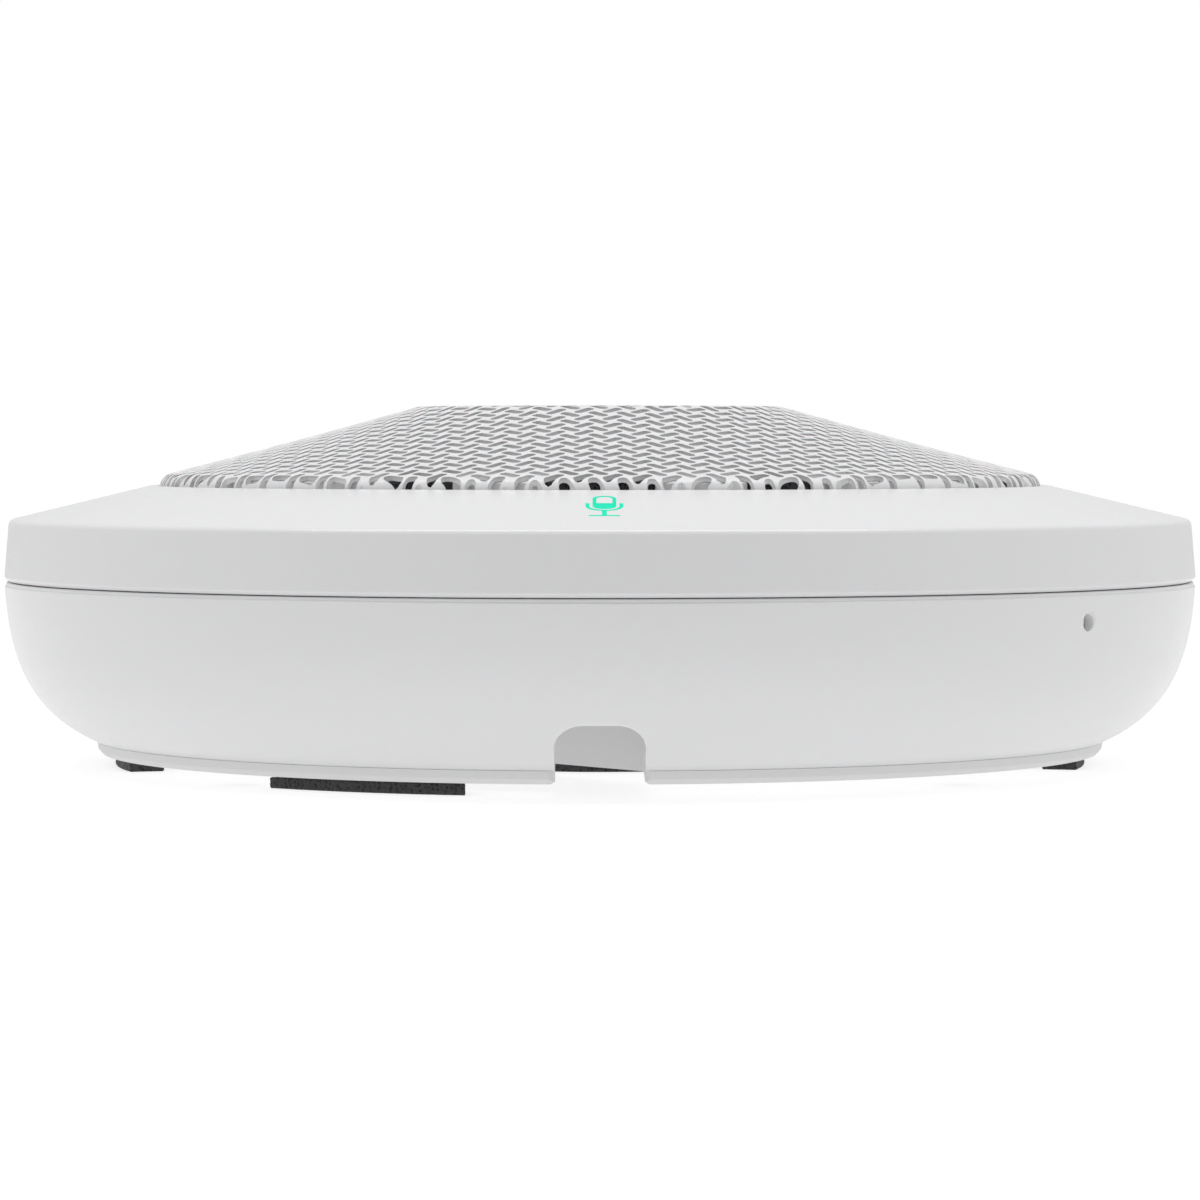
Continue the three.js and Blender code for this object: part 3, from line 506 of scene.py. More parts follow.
def all_finishes() -> dict[Slot, Finish]:
    """Gives the finish of each material slot.

    Returns:
        A finish for every slot of the record.
    """
    steel = (0.52, 0.53, 0.55)
    white = (0.805, 0.806, 0.812)
    return {
        Slot.WHITE_SHELL: Finish("satin_white_shell", white, (0.797, 0.798, 0.805), 0.24, 0.03,
                                 grain_scale=3600.0, grain_depth=0.000004, tone_scale=9.0, dust=0.03,
                                 wear=0.02, wear_colour=(0.86, 0.865, 0.87), subsurface=0.05),
        # This white carries painted shade on its slot walls.
        Slot.WHITE_GRILLE: GrillePaintedShadeFinish("satin_white_grille", white, (0.797, 0.798, 0.805), 0.34, 0.03,
                                        grain_scale=3600.0, grain_depth=0.000003, tone_scale=9.0,
                                        dust=0.04, wear=0.03, wear_colour=(0.86, 0.865, 0.87),
                                        subsurface=0.05),
        Slot.WHITE_INNER: Finish("matt_white_moulding", (0.80, 0.80, 0.805), (0.78, 0.78, 0.785), 0.55, 0.06,
                                 grain_scale=1800.0, grain_depth=0.00001, dust=0.06, wear=0.05),
        Slot.BLACK_FOAM: FoamFinish("black_cell_foam", (0.062, 0.062, 0.065), (0.046, 0.046, 0.049), 0.95,
                                    0.04, grain_scale=900.0, grain_depth=0.0001, sheen=0.15, dust=0.05),
        Slot.GREY_CLOTH: ClothFinish("acoustic_cloth", (0.50, 0.505, 0.515), (0.36, 0.365, 0.375), 0.9, 0.04,
                                     grain_scale=1500.0, grain_depth=0.00002, sheen=0.2),
        Slot.BLACK_PLASTIC: Finish("black_moulding", (0.025, 0.025, 0.028), (0.035, 0.035, 0.038), 0.5, 0.1,
                                   grain_scale=2200.0, grain_depth=0.00002, dust=0.25),
        Slot.STEEL: Finish("plated_steel", steel, (0.46, 0.47, 0.5), 0.3, 0.12, metallic=1.0,
                           grain_scale=1200.0, grain_depth=0.000008, wear=0.3, wear_colour=(0.8, 0.8, 0.82)),
        Slot.SOCKET_STEEL: Finish("socket_shield", (0.62, 0.63, 0.64), (0.54, 0.55, 0.57), 0.26, 0.1,
                                  metallic=1.0, grain_scale=900.0, grain_depth=0.000006, wear=0.3),
        Slot.BASKET_STEEL: Finish("black_lacquered_steel", (0.03, 0.03, 0.033), (0.045, 0.045, 0.048), 0.38,
                                  0.08, grain_scale=1500.0, grain_depth=0.00002, coat=0.3, wear=0.4,
                                  wear_colour=(0.35, 0.35, 0.36)),
        Slot.SYMBOL_LIGHT: LitFinish("lit_symbol", (0.003, 0.40, 0.26), (0.002, 0.37, 0.24), 0.6, 0.02,
                                     grain_depth=0.000002, ior=1.2, glow=(0.0, 0.44, 0.26)),
        Slot.CIRCUIT_BOARD: BoardFinish("solder_mask_board", (0.014, 0.13, 0.055), (0.01, 0.1, 0.045), 0.35,
                                        0.08, grain_scale=2400.0, grain_depth=0.00001, coat=0.2, dust=0.1),
        Slot.ALUMINIUM: Finish("satin_aluminium", (0.74, 0.75, 0.76), (0.66, 0.67, 0.69), 0.34, 0.1,
                               metallic=1.0, grain_scale=1600.0, grain_depth=0.00001, wear=0.2),
        Slot.FERRITE: Finish("sintered_ferrite", (0.05, 0.05, 0.054), (0.075, 0.073, 0.072), 0.72, 0.1,
                             grain_scale=1100.0, grain_depth=0.00004, wear=0.4,
                             wear_colour=(0.16, 0.16, 0.16)),
        Slot.RUBBER: Finish("soft_rubber", (0.018, 0.018, 0.019), (0.028, 0.028, 0.029), 0.75, 0.08,
                            grain_scale=1700.0, grain_depth=0.00001, dust=0.25),
        Slot.CONE_PAPER: Finish("treated_pulp", (0.045, 0.043, 0.04), (0.07, 0.066, 0.06), 0.88, 0.06,
                                grain_scale=700.0, grain_depth=0.00008, sheen=0.1),
        Slot.COPPER: Finish("enamelled_copper", (0.71, 0.31, 0.15), (0.6, 0.24, 0.1), 0.3, 0.08, metallic=1.0,
                            grain_scale=2600.0, grain_depth=0.00001, coat=0.4),
    }


class Palette:
    """The built materials, one for each slot."""

    def __init__(self) -> None:
        """Builds every material."""
        effects = Effects()
        self.materials = {slot: finish.build(effects) for slot, finish in all_finishes().items()}

    def dress(self, piece: bpy.types.Object, slot: Slot) -> None:
        """Gives a piece one material and no other."""
        piece.data.materials.clear()
        piece.data.materials.append(self.materials[slot])


# ---- mesh helpers -----------------------------------------------------------------------------------


def fillet(corners: Sequence[Corner], steps: int = 8, closed: bool = True) -> list[Point]:
    """Draws an outline with rounded corners.

    Args:
        corners: One (x, y) or (x, y, radius) for each corner.
        steps: The number of pieces in each rounded corner.
        closed: Whether the first and last corners are neighbours.

    Returns:
        The outline's points.
    """
    points: list[Point] = []
    for index, corner in enumerate(corners):
        here = Vector(corner[:2])
        radius = corner[2] if len(corner) > 2 else 0.0
        if radius <= 0.0 or (not closed and index in (0, len(corners) - 1)):
            points.append((here.x, here.y))
            continue
        back = (Vector(corners[index - 1][:2]) - here).normalized()
        ahead = (Vector(corners[(index + 1) % len(corners)][:2]) - here).normalized()
        half = math.acos(max(-1.0, min(1.0, back.dot(ahead)))) / 2.0
        centre = here + (back + ahead).normalized() * (radius / math.sin(half))
        start = here + back * (radius / math.tan(half)) - centre
        end = here + ahead * (radius / math.tan(half)) - centre
        turn = math.atan2(start.x * end.y - start.y * end.x, start.dot(end))
        for step in range(steps + 1):
            angle = turn * step / steps
            turned = Vector((start.x * math.cos(angle) - start.y * math.sin(angle),
                             start.x * math.sin(angle) + start.y * math.cos(angle))) + centre
            points.append((turned.x, turned.y))
    return points


def bezier(start: Point, first: Point, second: Point, end: Point, steps: int) -> list[Point]:
    """Gives points along a cubic curve, both ends included.

    Args:
        start: The first point.
        first: The control point after it.
        second: The control point before the end.
        end: The last point.
        steps: The number of steps from start to end.

    Returns:
        The points.
    """
    points = []
    for step in range(steps + 1):
        t = step / steps
        weights = ((1 - t) ** 3, 3 * (1 - t) ** 2 * t, 3 * (1 - t) * t * t, t**3)
        corners = (start, first, second, end)
        points.append((sum(w * c[0] for w, c in zip(weights, corners)),
                       sum(w * c[1] for w, c in zip(weights, corners))))
    return points


def link_mesh(name: str, work: bmesh.types.BMesh, smooth_degrees: float | None = 32.0) -> bpy.types.Object:
    """Turns a bmesh, in millimetres, into an object, in metres.

    Args:
        name: The object's name.
        work: The bmesh, which is freed.
        smooth_degrees: Edges sharper than this stay sharp; None leaves every face flat.

    Returns:
        The new object, linked to the scene.
    """
    bmesh.ops.scale(work, vec=(MM, MM, MM), verts=work.verts)
    mesh = bpy.data.meshes.new(name)
    work.to_mesh(mesh)
    work.free()
    piece = bpy.data.objects.new(name, mesh)
    bpy.context.scene.collection.objects.link(piece)
    smooth(piece, smooth_degrees)
    return piece


def smooth(piece: bpy.types.Object, degrees: float | None) -> None:
    """Shades a piece smooth, with edges over an angle kept sharp, or flat where the angle is None.

    Args:
        piece: The piece, changed in place.
        degrees: The angle, or None.
    """
    mesh = piece.data
    mesh.polygons.foreach_set("use_smooth", [degrees is not None] * len(mesh.polygons))
    if degrees is not None:
        mesh.set_sharp_from_angle(angle=math.radians(degrees))
    mesh.update()


def revolved(name: str, profile: Sequence[Point], segments: int = 192,
             smooth_degrees: float | None = 32.0) -> bpy.types.Object:
    """Turns a closed (radius, height) outline about Z; points on the axis become poles.

    Args:
        name: The object's name.
        profile: The outline, in millimetres.
        segments: The number of steps round the axis.
        smooth_degrees: See link_mesh.

    Returns:
        The new object.
    """
    area = sum(a[0] * b[1] - b[0] * a[1] for a, b in zip(profile, [*profile[1:], profile[0]]))
    ordered = list(profile) if area > 0 else list(reversed(profile))
    work = bmesh.new()
    rings: list[list[bmesh.types.BMVert]] = []
    for radius, height in ordered:
        if radius < 1e-6:
            rings.append([work.verts.new((0.0, 0.0, height))])
            continue
        rings.append([work.verts.new((radius * math.cos(2 * math.pi * i / segments),
                                      radius * math.sin(2 * math.pi * i / segments), height))
                      for i in range(segments)])
    for index, here in enumerate(rings):
        after = rings[(index + 1) % len(rings)]
        if len(here) == 1 and len(after) == 1:
            continue
        for i in range(segments):
            j = (i + 1) % segments
            if len(here) == 1:
                work.faces.new((here[0], after[j], after[i]))
            elif len(after) == 1:
                work.faces.new((here[i], here[j], after[0]))
            else:
                work.faces.new((here[i], here[j], after[j], after[i]))
    return link_mesh(name, work, smooth_degrees)


def lofted(name: str, rings: Sequence[Sequence[Vector]],
           smooth_degrees: float | None = 32.0) -> bpy.types.Object:
    """Joins rings of equal length into a closed solid with flat ends, its faces turned outwards.

    Args:
        name: The object's name.
        rings: The rings, from one end to the other.
        smooth_degrees: See link_mesh.

    Returns:
        The new object.
    """
    work = bmesh.new()
    made = [[work.verts.new(point) for point in ring] for ring in rings]
    count = len(made[0])
    for here, after in zip(made, made[1:]):
        for i in range(count):
            j = (i + 1) % count
            work.faces.new((here[i], here[j], after[j], after[i]))
    work.faces.new(list(reversed(made[0])))
    work.faces.new(made[-1])
    bmesh.ops.recalc_face_normals(work, faces=work.faces)
    return link_mesh(name, work, smooth_degrees)


def prism(name: str, points: Sequence[Point], bottom: float, top: float) -> bpy.types.Object:
    """Stands a flat outline up between two heights."""
    return lofted(name, [[Vector((x, y, z)) for x, y in points] for z in (bottom, top)])


def box_piece(name: str, low: Sequence[float], high: Sequence[float], bevel: float = 0.0) -> bpy.types.Object:
    """Makes a box between two corners, its edges rounded where bevel is over zero.

    Args:
        name: The object's name.
        low: Its lowest corner.
        high: Its highest corner.
        bevel: The radius of its edges.

    Returns:
        The new object.
    """
    work = bmesh.new()
    bmesh.ops.create_cube(work, size=1.0)
    sizes = [b - a for a, b in zip(low, high)]
    centre = [(a + b) / 2.0 for a, b in zip(low, high)]
    bmesh.ops.scale(work, vec=sizes, verts=work.verts)
    bmesh.ops.translate(work, vec=centre, verts=work.verts)
    if bevel > 0.0:
        bmesh.ops.bevel(work, geom=list(work.edges), offset=bevel, segments=3, affect="EDGES", profile=0.5)
    return link_mesh(name, work)


def upright(name: str, radius: float, bottom: float, top: float, at: Point = (0.0, 0.0),
            segments: int = 48) -> bpy.types.Object:
    """Makes a cylinder along Z."""
    ring = [(at[0] + radius * math.cos(2 * math.pi * i / segments),
             at[1] + radius * math.sin(2 * math.pi * i / segments)) for i in range(segments)]
    return prism(name, ring, bottom, top)


def spoke(name: str, profile: Sequence[Point], height: float, degrees: float,
          segments: int = 48) -> bpy.types.Object:
    """Turns a (radius, distance) outline about a line that runs from the axis at an angle from the front.

    Args:
        name: The object's name.
        profile: The outline.
        height: The line's height.
        degrees: The line's angle from the front.
        segments: The number of steps round the line.

    Returns:
        The new object.
    """
    piece = revolved(name, profile, segments)
    place = (Matrix.Rotation(math.radians(degrees), 4, "Z") @ Matrix.Translation((0.0, 0.0, height * MM))
             @ Matrix.Rotation(math.pi / 2.0, 4, "X"))
    piece.data.transform(place)
    return piece


def evaluated(piece: bpy.types.Object) -> None:
    """Replaces a piece's mesh by its evaluated one and drops its modifiers.

    Args:
        piece: The piece, changed in place.
    """
    bpy.context.view_layer.update()
    graph = bpy.context.evaluated_depsgraph_get()
    mesh = bpy.data.meshes.new_from_object(piece.evaluated_get(graph))
    piece.modifiers.clear()
    piece.data = mesh


def combine(piece: bpy.types.Object, tools: Iterable[bpy.types.Object], operation: str,
            smooth_degrees: float | None = 32.0) -> None:
    """Adds tools to a piece, or cuts them out of it, and removes the tools.

    Args:
        piece: The piece, changed in place.
        tools: Closed solids.
        operation: UNION or DIFFERENCE.
        smooth_degrees: See link_mesh.
    """
    for tool in tools:
        step = piece.modifiers.new("combine", "BOOLEAN")
        step.object = tool
        step.operation = operation
        step.solver = "MANIFOLD"
        evaluated(piece)
        bpy.data.objects.remove(tool)
    smooth(piece, smooth_degrees)


def box_mm(node: str) -> tuple[Vector, Vector]:
    """Gives the lowest and highest corners of a node of the frame, in millimetres."""
    low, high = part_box(node)
    return low / MM, high / MM


def on_circle(radius: float, degrees: float) -> Point:
    """Gives a point at an angle from +X."""
    return radius * math.cos(math.radians(degrees)), radius * math.sin(math.radians(degrees))


@dataclass
class Kit:
    """What every sub-assembly needs to finish its pieces."""

    palette: Palette
    nodes: dict[str, bpy.types.Object]
    made: list[str] = field(default_factory=list)

    def finish(self, piece: bpy.types.Object, slot: Slot, replaces: Sequence[str],
               body: Body = Body.HOUSING) -> bpy.types.Object:
        """Dresses a piece, lets it ride on a body and lets it stand for its CAD nodes.

        Args:
            piece: The finished mesh object.
            slot: Its material slot.
            replaces: The CAD nodes that it stands for.
            body: The body that it moves with.

        Returns:
            The piece.
        """
        self.palette.dress(piece, slot)
        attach(piece, body.value)
        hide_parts(*replaces)
        self.made.append(piece.name)
        LOG.info("%s: %d faces, for %s", piece.name, len(piece.data.polygons), ", ".join(replaces))
        return piece

    def carry(self, node: str, slot: Slot) -> None:
        """Gives a CAD node that stays its material."""
        self.palette.dress(self.nodes[node], slot)
        LOG.info("%s: kept from the frame", node)


# ---- shells -----------------------------------------------------------------------------------------


@dataclass(frozen=True)
class ShellSizes:
    """Sizes shared by the shells, in millimetres."""

    outer_radius: float = 120.0
    seam: float = 36.9
    gap: float = 0.2
    bowl_bottom: float = 5.0
    bowl_foot: float = 101.7
    flange_inner: float = 93.0
    flange_top: float = 7.0
    notch_half: float = 8.3
    notch_top: float = 13.9
    notch_corner: Point = (5.3, 4.3)
    notch_edge: float = 0.5
    hood_end: float = -91.8
    reset_degrees: float = 50.0
    reset_height: float = 31.1
    slope_outer: Point = (118.3, 49.4)
    slope_inner: Point = (90.6, 56.1)
    grille_opening: float = 89.9
    screw_circle: float = 96.0
    screw_degrees: tuple[float, ...] = (45.0, 135.0, 225.0, 315.0)

    @classmethod
    def from_frame(cls) -> "ShellSizes":
        """Takes the outer radius, the bowl's bottom and the button's height from the frame.

        Returns:
            The shell sizes.
        """
        button_low, button_high = box_mm("reset_button")
        middle = (button_low + button_high) / 2.0
        return cls(outer_radius=round(box_mm("top_bezel")[1].x, 2), bowl_bottom=box_mm("lower_housing")[0].z,
                   reset_height=middle.z, reset_degrees=math.degrees(math.atan2(middle.x, -middle.y)))

    @property
    def slope_fall(self) -> float:
        """Height lost for each millimetre outwards on the bezel's slope."""
        (outer, low), (inner, high) = self.slope_outer, self.slope_inner
        return (high - low) / (outer - inner)

    def slope_height(self, radius: float) -> float:
        """Height of the bezel's slope at a distance from the axis."""
        return self.slope_inner[1] - (radius - self.slope_inner[0]) * self.slope_fall

    def bowl(self, steps: int) -> list[Point]:
        """The bowl's outer curve, from its foot to the seam."""
        return bezier((self.bowl_foot, self.bowl_bottom), (114.5, 10.4), (119.3, 20.6),
                      (self.outer_radius - 0.05, self.seam), steps)

    def bowl_radius(self, height: float) -> float:
        """Outer radius of the bowl at a height, or of its foot below it.

        Args:
            height: The height.

        Returns:
            The radius.
        """
        points = self.bowl(48)
        for (low_r, low_z), (high_r, high_z) in zip(points, points[1:]):
            if low_z <= height <= high_z:
                return low_r + (high_r - low_r) * (height - low_z) / (high_z - low_z)
        return self.bowl_foot


def notch_outline(sizes: ShellSizes, margin: float, foot: float, steps: int = 10) -> list[Point]:
    """The cable notch's cross-section, anticlockwise from its lower left, its upper corners elliptical.

    Args:
        sizes: The shell sizes.
        margin: How much wider and higher than the notch it is.
        foot: Its lowest height.
        steps: The number of steps in each corner.

    Returns:
        The closed (x, height) outline.
    """
    half = sizes.notch_half + margin
    top = sizes.notch_top + margin
    across, down = (side + margin for side in sizes.notch_corner)
    points: list[Point] = [(-half, foot), (half, foot)]
    for side, start in ((1.0, 0.0), (-1.0, math.pi / 2.0)):
        for step in range(steps + 1):
            angle = start + math.pi / 2.0 * step / steps
            points.append((side * (half - across) + across * math.cos(angle),
                           top - down + down * math.sin(angle)))
    return points


def notch_cutter(sizes: ShellSizes, radius_at: Callable[[float], float], foot: float) -> bpy.types.Object:
    """A run of the notch's section that flares where it meets the outer surface, which rounds that edge.

    Args:
        sizes: The shell sizes.
        radius_at: Outer radius of the surface that is cut, by height.
        foot: The lowest height of the section.

    Returns:
        The cutting solid.
    """
    edge = sizes.notch_edge
    depths = [(-6.0, 2.2 * edge), (-0.6 * edge, 1.6 * edge)]
    for step in range(7):
        angle = math.pi / 2.0 * step / 6.0
        depths.append((edge * math.sin(angle), edge * (1.0 - math.sin(math.acos(1.0 - math.sin(angle))))))
    rings = []
    for depth, margin in depths:
        ring = []
        for x, z in notch_outline(sizes, max(margin, 0.0), foot):
            radius = radius_at(min(max(z, 0.0), sizes.seam))
            surface = -math.sqrt(radius * radius - x * x)
            ring.append(Vector((x, surface + depth, z)))
        rings.append(ring)
    rings.append([Vector((x, sizes.hood_end + 6.0, z)) for x, z in notch_outline(sizes, 0.0, foot)])
    return lofted("notch_cutter", rings)


class LowerHousing:
    """The bowl-shaped lower shell, with the hood over the cable and the reset hole's boss."""

    def __init__(self, sizes: ShellSizes) -> None:
        """Keeps the shell sizes."""
        self.sizes = sizes

    def profile(self) -> list[Point]:
        """The shell's section.

        Returns:
            The closed (radius, height) outline.
        """
        s = self.sizes
        inner = bezier((117.3, 31.5), (116.9, 21.0), (112.4, 12.3), (100.6, s.flange_top), 24)
        lip = fillet([(119.55, s.seam - 0.6), (s.outer_radius - 0.05, s.seam, 0.35), (117.3, s.seam)],
                     4, False)
        outer = [point for point in s.bowl(56) if point[1] < s.seam - 0.5]
        tongue = [(117.3, 39.4), (115.7, 39.4), (115.7, 33.0)]
        return [(s.flange_inner, s.bowl_bottom), *outer, *lip[1:], *tongue, *inner,
                (s.flange_inner, s.flange_top)]

    def build(self, kit: Kit) -> None:
        """Args:
            kit: The finishing kit.
        """
        s = self.sizes
        shell = revolved("bowl_shell", self.profile(), 288)
        filled = revolved("bowl_filled", [(0.0, s.bowl_bottom), *s.bowl(56), (0.0, s.seam)], 288)
        ring = notch_outline(s, 2.0, s.bowl_bottom)
        hood = lofted("hood", [[Vector((x, y, z)) for x, z in ring] for y in (-s.outer_radius, s.hood_end)])
        boss = spoke("boss", [(0.0, 112.0), (4.0, 112.0), (4.0, 118.6), (0.0, 118.6)], s.reset_height,
                     s.reset_degrees)
        ribs = []
        for side in (-8.3, 6.3):
            rib = box_piece("rib", (side, -117.6, s.reset_height - 7.0),
                            (side + 2.0, -101.0, s.reset_height + 5.0))
            rib.data.transform(Matrix.Rotation(math.radians(s.reset_degrees), 4, "Z"))
            ribs.append(rib)
        combine(hood, [boss, *ribs], "UNION")
        limit = hood.modifiers.new("limit", "BOOLEAN")
        limit.object = filled
        limit.operation = "INTERSECT"
        limit.solver = "MANIFOLD"
        evaluated(hood)
        bpy.data.objects.remove(filled)
        combine(shell, [hood], "UNION")
        edge = 0.35
        mouth = [(0.0, 111.0), (1.65, 111.0)]
        for step in range(6):
            angle = math.pi / 2.0 * step / 5.0
            mouth.append((1.65 + edge * (1.0 - math.cos(angle)), 119.45 - edge + edge * math.sin(angle)))
        mouth += [(2.6, 120.6), (0.0, 120.6)]
        holes = [spoke("reset_hole", mouth, s.reset_height, s.reset_degrees, 40)]
        for degrees in s.screw_degrees:
            holes.append(upright("screw_hole", 1.7, 4.0, 8.0, on_circle(s.screw_circle, degrees)))
        combine(shell, [notch_cutter(s, s.bowl_radius, 1.0), *holes], "DIFFERENCE")
        kit.finish(shell, Slot.WHITE_SHELL, ["lower_housing"])


class TopBezel:
    """The smooth ring with its slope, band and the flange that carries the grille."""

    def __init__(self, sizes: ShellSizes) -> None:
        """Keeps the shell sizes."""
        self.sizes = sizes

    def build(self, kit: Kit) -> None:
        """Args:
            kit: The finishing kit.
        """
        s = self.sizes
        bottom = s.seam + s.gap
        under = 2.2 * math.hypot(1.0, s.slope_fall)
        corners: list[Corner] = [
            (117.8, bottom),
            (s.outer_radius - 0.75, bottom, 0.2),
            (s.outer_radius, bottom + 0.75, 0.3),
            (119.05, s.slope_height(119.05), 1.4),
            (s.grille_opening, s.slope_height(s.grille_opening), 0.8),
            (s.grille_opening, 52.7),
            (77.0, 52.7, 0.4),
            (77.0, 50.5, 0.4),
            (92.1, 50.5),
            (92.1, s.slope_height(92.1) - under),
            (116.4, s.slope_height(116.4) - under, 1.0),
            (117.4, 46.0),
        ]
        ring = revolved("bezel_ring", fillet(corners, 9), 288)
        posts = [upright("post", 3.5, 7.3, 53.0, on_circle(s.screw_circle, d)) for d in s.screw_degrees]
        holes = [upright("hole", 1.7, 7.0, 17.0, on_circle(s.screw_circle, d)) for d in s.screw_degrees]
        combine(ring, posts, "UNION")
        combine(ring, holes, "DIFFERENCE")
        kit.finish(ring, Slot.WHITE_SHELL, ["top_bezel"])


@dataclass
class BasePlate:
    """The flat bottom moulding with the connector bay, its socket windows, posts and screw holes."""

    sizes: ShellSizes
    bottom: float = 2.4
    top: float = 4.7
    radius: float = 101.4
    bay_ceiling: float = 18.2
    bay_roof: float = 20.0
    bay_end: float = -20.0
    wall: float = 2.0
    post_degrees: tuple[float, ...] = (20.0, 110.0, 160.0, 290.0)
    groove: tuple[float, float] = (33.8, 34.6)
    edge: float = 1.0

    def bay_corners(self, grow: float) -> list[Corner]:
        """The bay's plan, moved outwards by a distance, with its corners rounded.

        Args:
            grow: The distance.

        Returns:
            The corners with their radii.
        """
        half = self.sizes.notch_half
        inner = [(half, -89.0), (half, -65.0), (-27.8, self.bay_end), (-62.0, self.bay_end), (-62.0, -50.0),
                 (-30.0, -80.0), (-half, -87.0), (-half, -89.0)]
        grown: list[Corner] = []
        for index, corner in enumerate(inner):
            here = Vector(corner)
            into = (here - Vector(inner[index - 1])).normalized()
            out = (Vector(inner[(index + 1) % len(inner)]) - here).normalized()
            normal_in, normal_out = Vector((into.y, -into.x)), Vector((out.y, -out.x))
            mitre = (normal_in + normal_out).normalized()
            moved = here + mitre * (grow / mitre.dot(normal_in))
            radius = 0.8 + grow if 1 <= index <= 5 else 0.0
            grown.append((moved.x, moved.y, radius))
        return grown

    def build(self, kit: Kit) -> None:
        """Args:
            kit: The finishing kit.
        """
        s = self.sizes
        rim = s.bowl_bottom - 0.04
        corners: list[Corner] = [(0.0, self.bottom), (self.radius - 0.9, self.bottom, 0.5),
                                 (self.radius, self.bottom + 1.0, 0.7), (self.radius + 0.27, rim, 0.05),
                                 (s.flange_inner, rim), (s.flange_inner, self.top), (0.0, self.top)]
        plate = revolved("base_moulding", fillet(corners, 5), 288)
        bay = prism("bay", fillet(self.bay_corners(self.wall), 5), self.bottom + 0.6, self.bay_roof)
        posts = [upright("post", 3.5, 3.4, 20.7, on_circle(60.0, d)) for d in self.post_degrees]
        combine(plate, [bay, *posts], "UNION")
        cutters = [prism("bay_hollow", fillet(self.bay_corners(0.0), 5), 0.0, self.bay_ceiling)]
        cutters += [self._slot(), self._corner(-1.0), self._corner(1.0)]
        cutters.append(box_piece("lan_window", (-47.2, self.bay_end - 1.0, 7.9), (-34.8, -17.0, 17.4), 0.0))
        cutters.append(box_piece("usb_window", (-59.9, self.bay_end - 1.0, 14.3), (-51.1, -17.0, 17.7), 0.0))
        for degrees in self.post_degrees:
            cutters.append(upright("post_hole", 1.5, 10.0, 22.0, on_circle(60.0, degrees)))
        sink = [(0.0, 1.0), (3.9, 1.0), (3.6, self.bottom), (3.4, 2.8), (1.7, 4.6), (1.7, 6.0), (0.0, 6.0)]
        for degrees in s.screw_degrees:
            cutter = revolved("sink", sink, 40)
            x, y = on_circle(s.screw_circle, degrees)
            cutter.data.transform(Matrix.Translation((x * MM, y * MM, 0.0)))
            cutters.append(cutter)
        inner, outer = self.groove
        groove = [(inner, 1.0), (outer, 1.0), (outer, self.bottom + 0.3), (inner, self.bottom + 0.3)]
        cutters.append(revolved("groove", groove, 160))
        combine(plate, cutters, "DIFFERENCE")
        kit.finish(plate, Slot.WHITE_INNER, ["base_plate"])

    def _corner(self, side: float) -> bpy.types.Object:
        """What rounds the plate's lower corner at one side of the notch, seen from the front.

        Args:
            side: -1 for the left corner, 1 for the right one.

        Returns:
            The cutting solid.
        """
        half = self.sizes.notch_half
        edge = self.edge
        section = [(half - 0.5, self.bottom + edge)]
        for step in range(9):
            angle = math.pi / 2.0 * step / 8.0
            section.append((half + edge * (1.0 - math.cos(angle)),
                            self.bottom + edge * (1.0 - math.sin(angle))))
        section += [(half + edge, 1.0), (half - 0.5, 1.0)]
        return lofted("corner", [[Vector((side * x, y, z)) for x, z in section] for y in (-110.0, -94.0)])

    def _slot(self) -> bpy.types.Object:
        """The notch through the plate's edge, its outer corners rounded in plan.

        Returns:
            The cutting solid.
        """
        half = self.sizes.notch_half
        flare = self.edge
        points: list[Point] = [(-half, -87.5), (-half, -self.radius + flare + 0.45)]
        for step in range(1, 7):
            angle = math.pi / 2.0 * step / 6.0
            points.append((-half - flare * (1.0 - math.cos(angle)),
                           -self.radius + 0.45 + flare * (1.0 - math.sin(angle))))
        points += [(-half - flare, -110.0), (half + flare, -110.0)]
        for step in range(6, 0, -1):
            angle = math.pi / 2.0 * step / 6.0
            points.append((half + flare * (1.0 - math.cos(angle)),
                           -self.radius + 0.45 + flare * (1.0 - math.sin(angle))))
        points += [(half, -self.radius + flare + 0.45), (half, -87.5)]
        return prism("slot", points, 0.0, self.sizes.notch_top - 1.0)


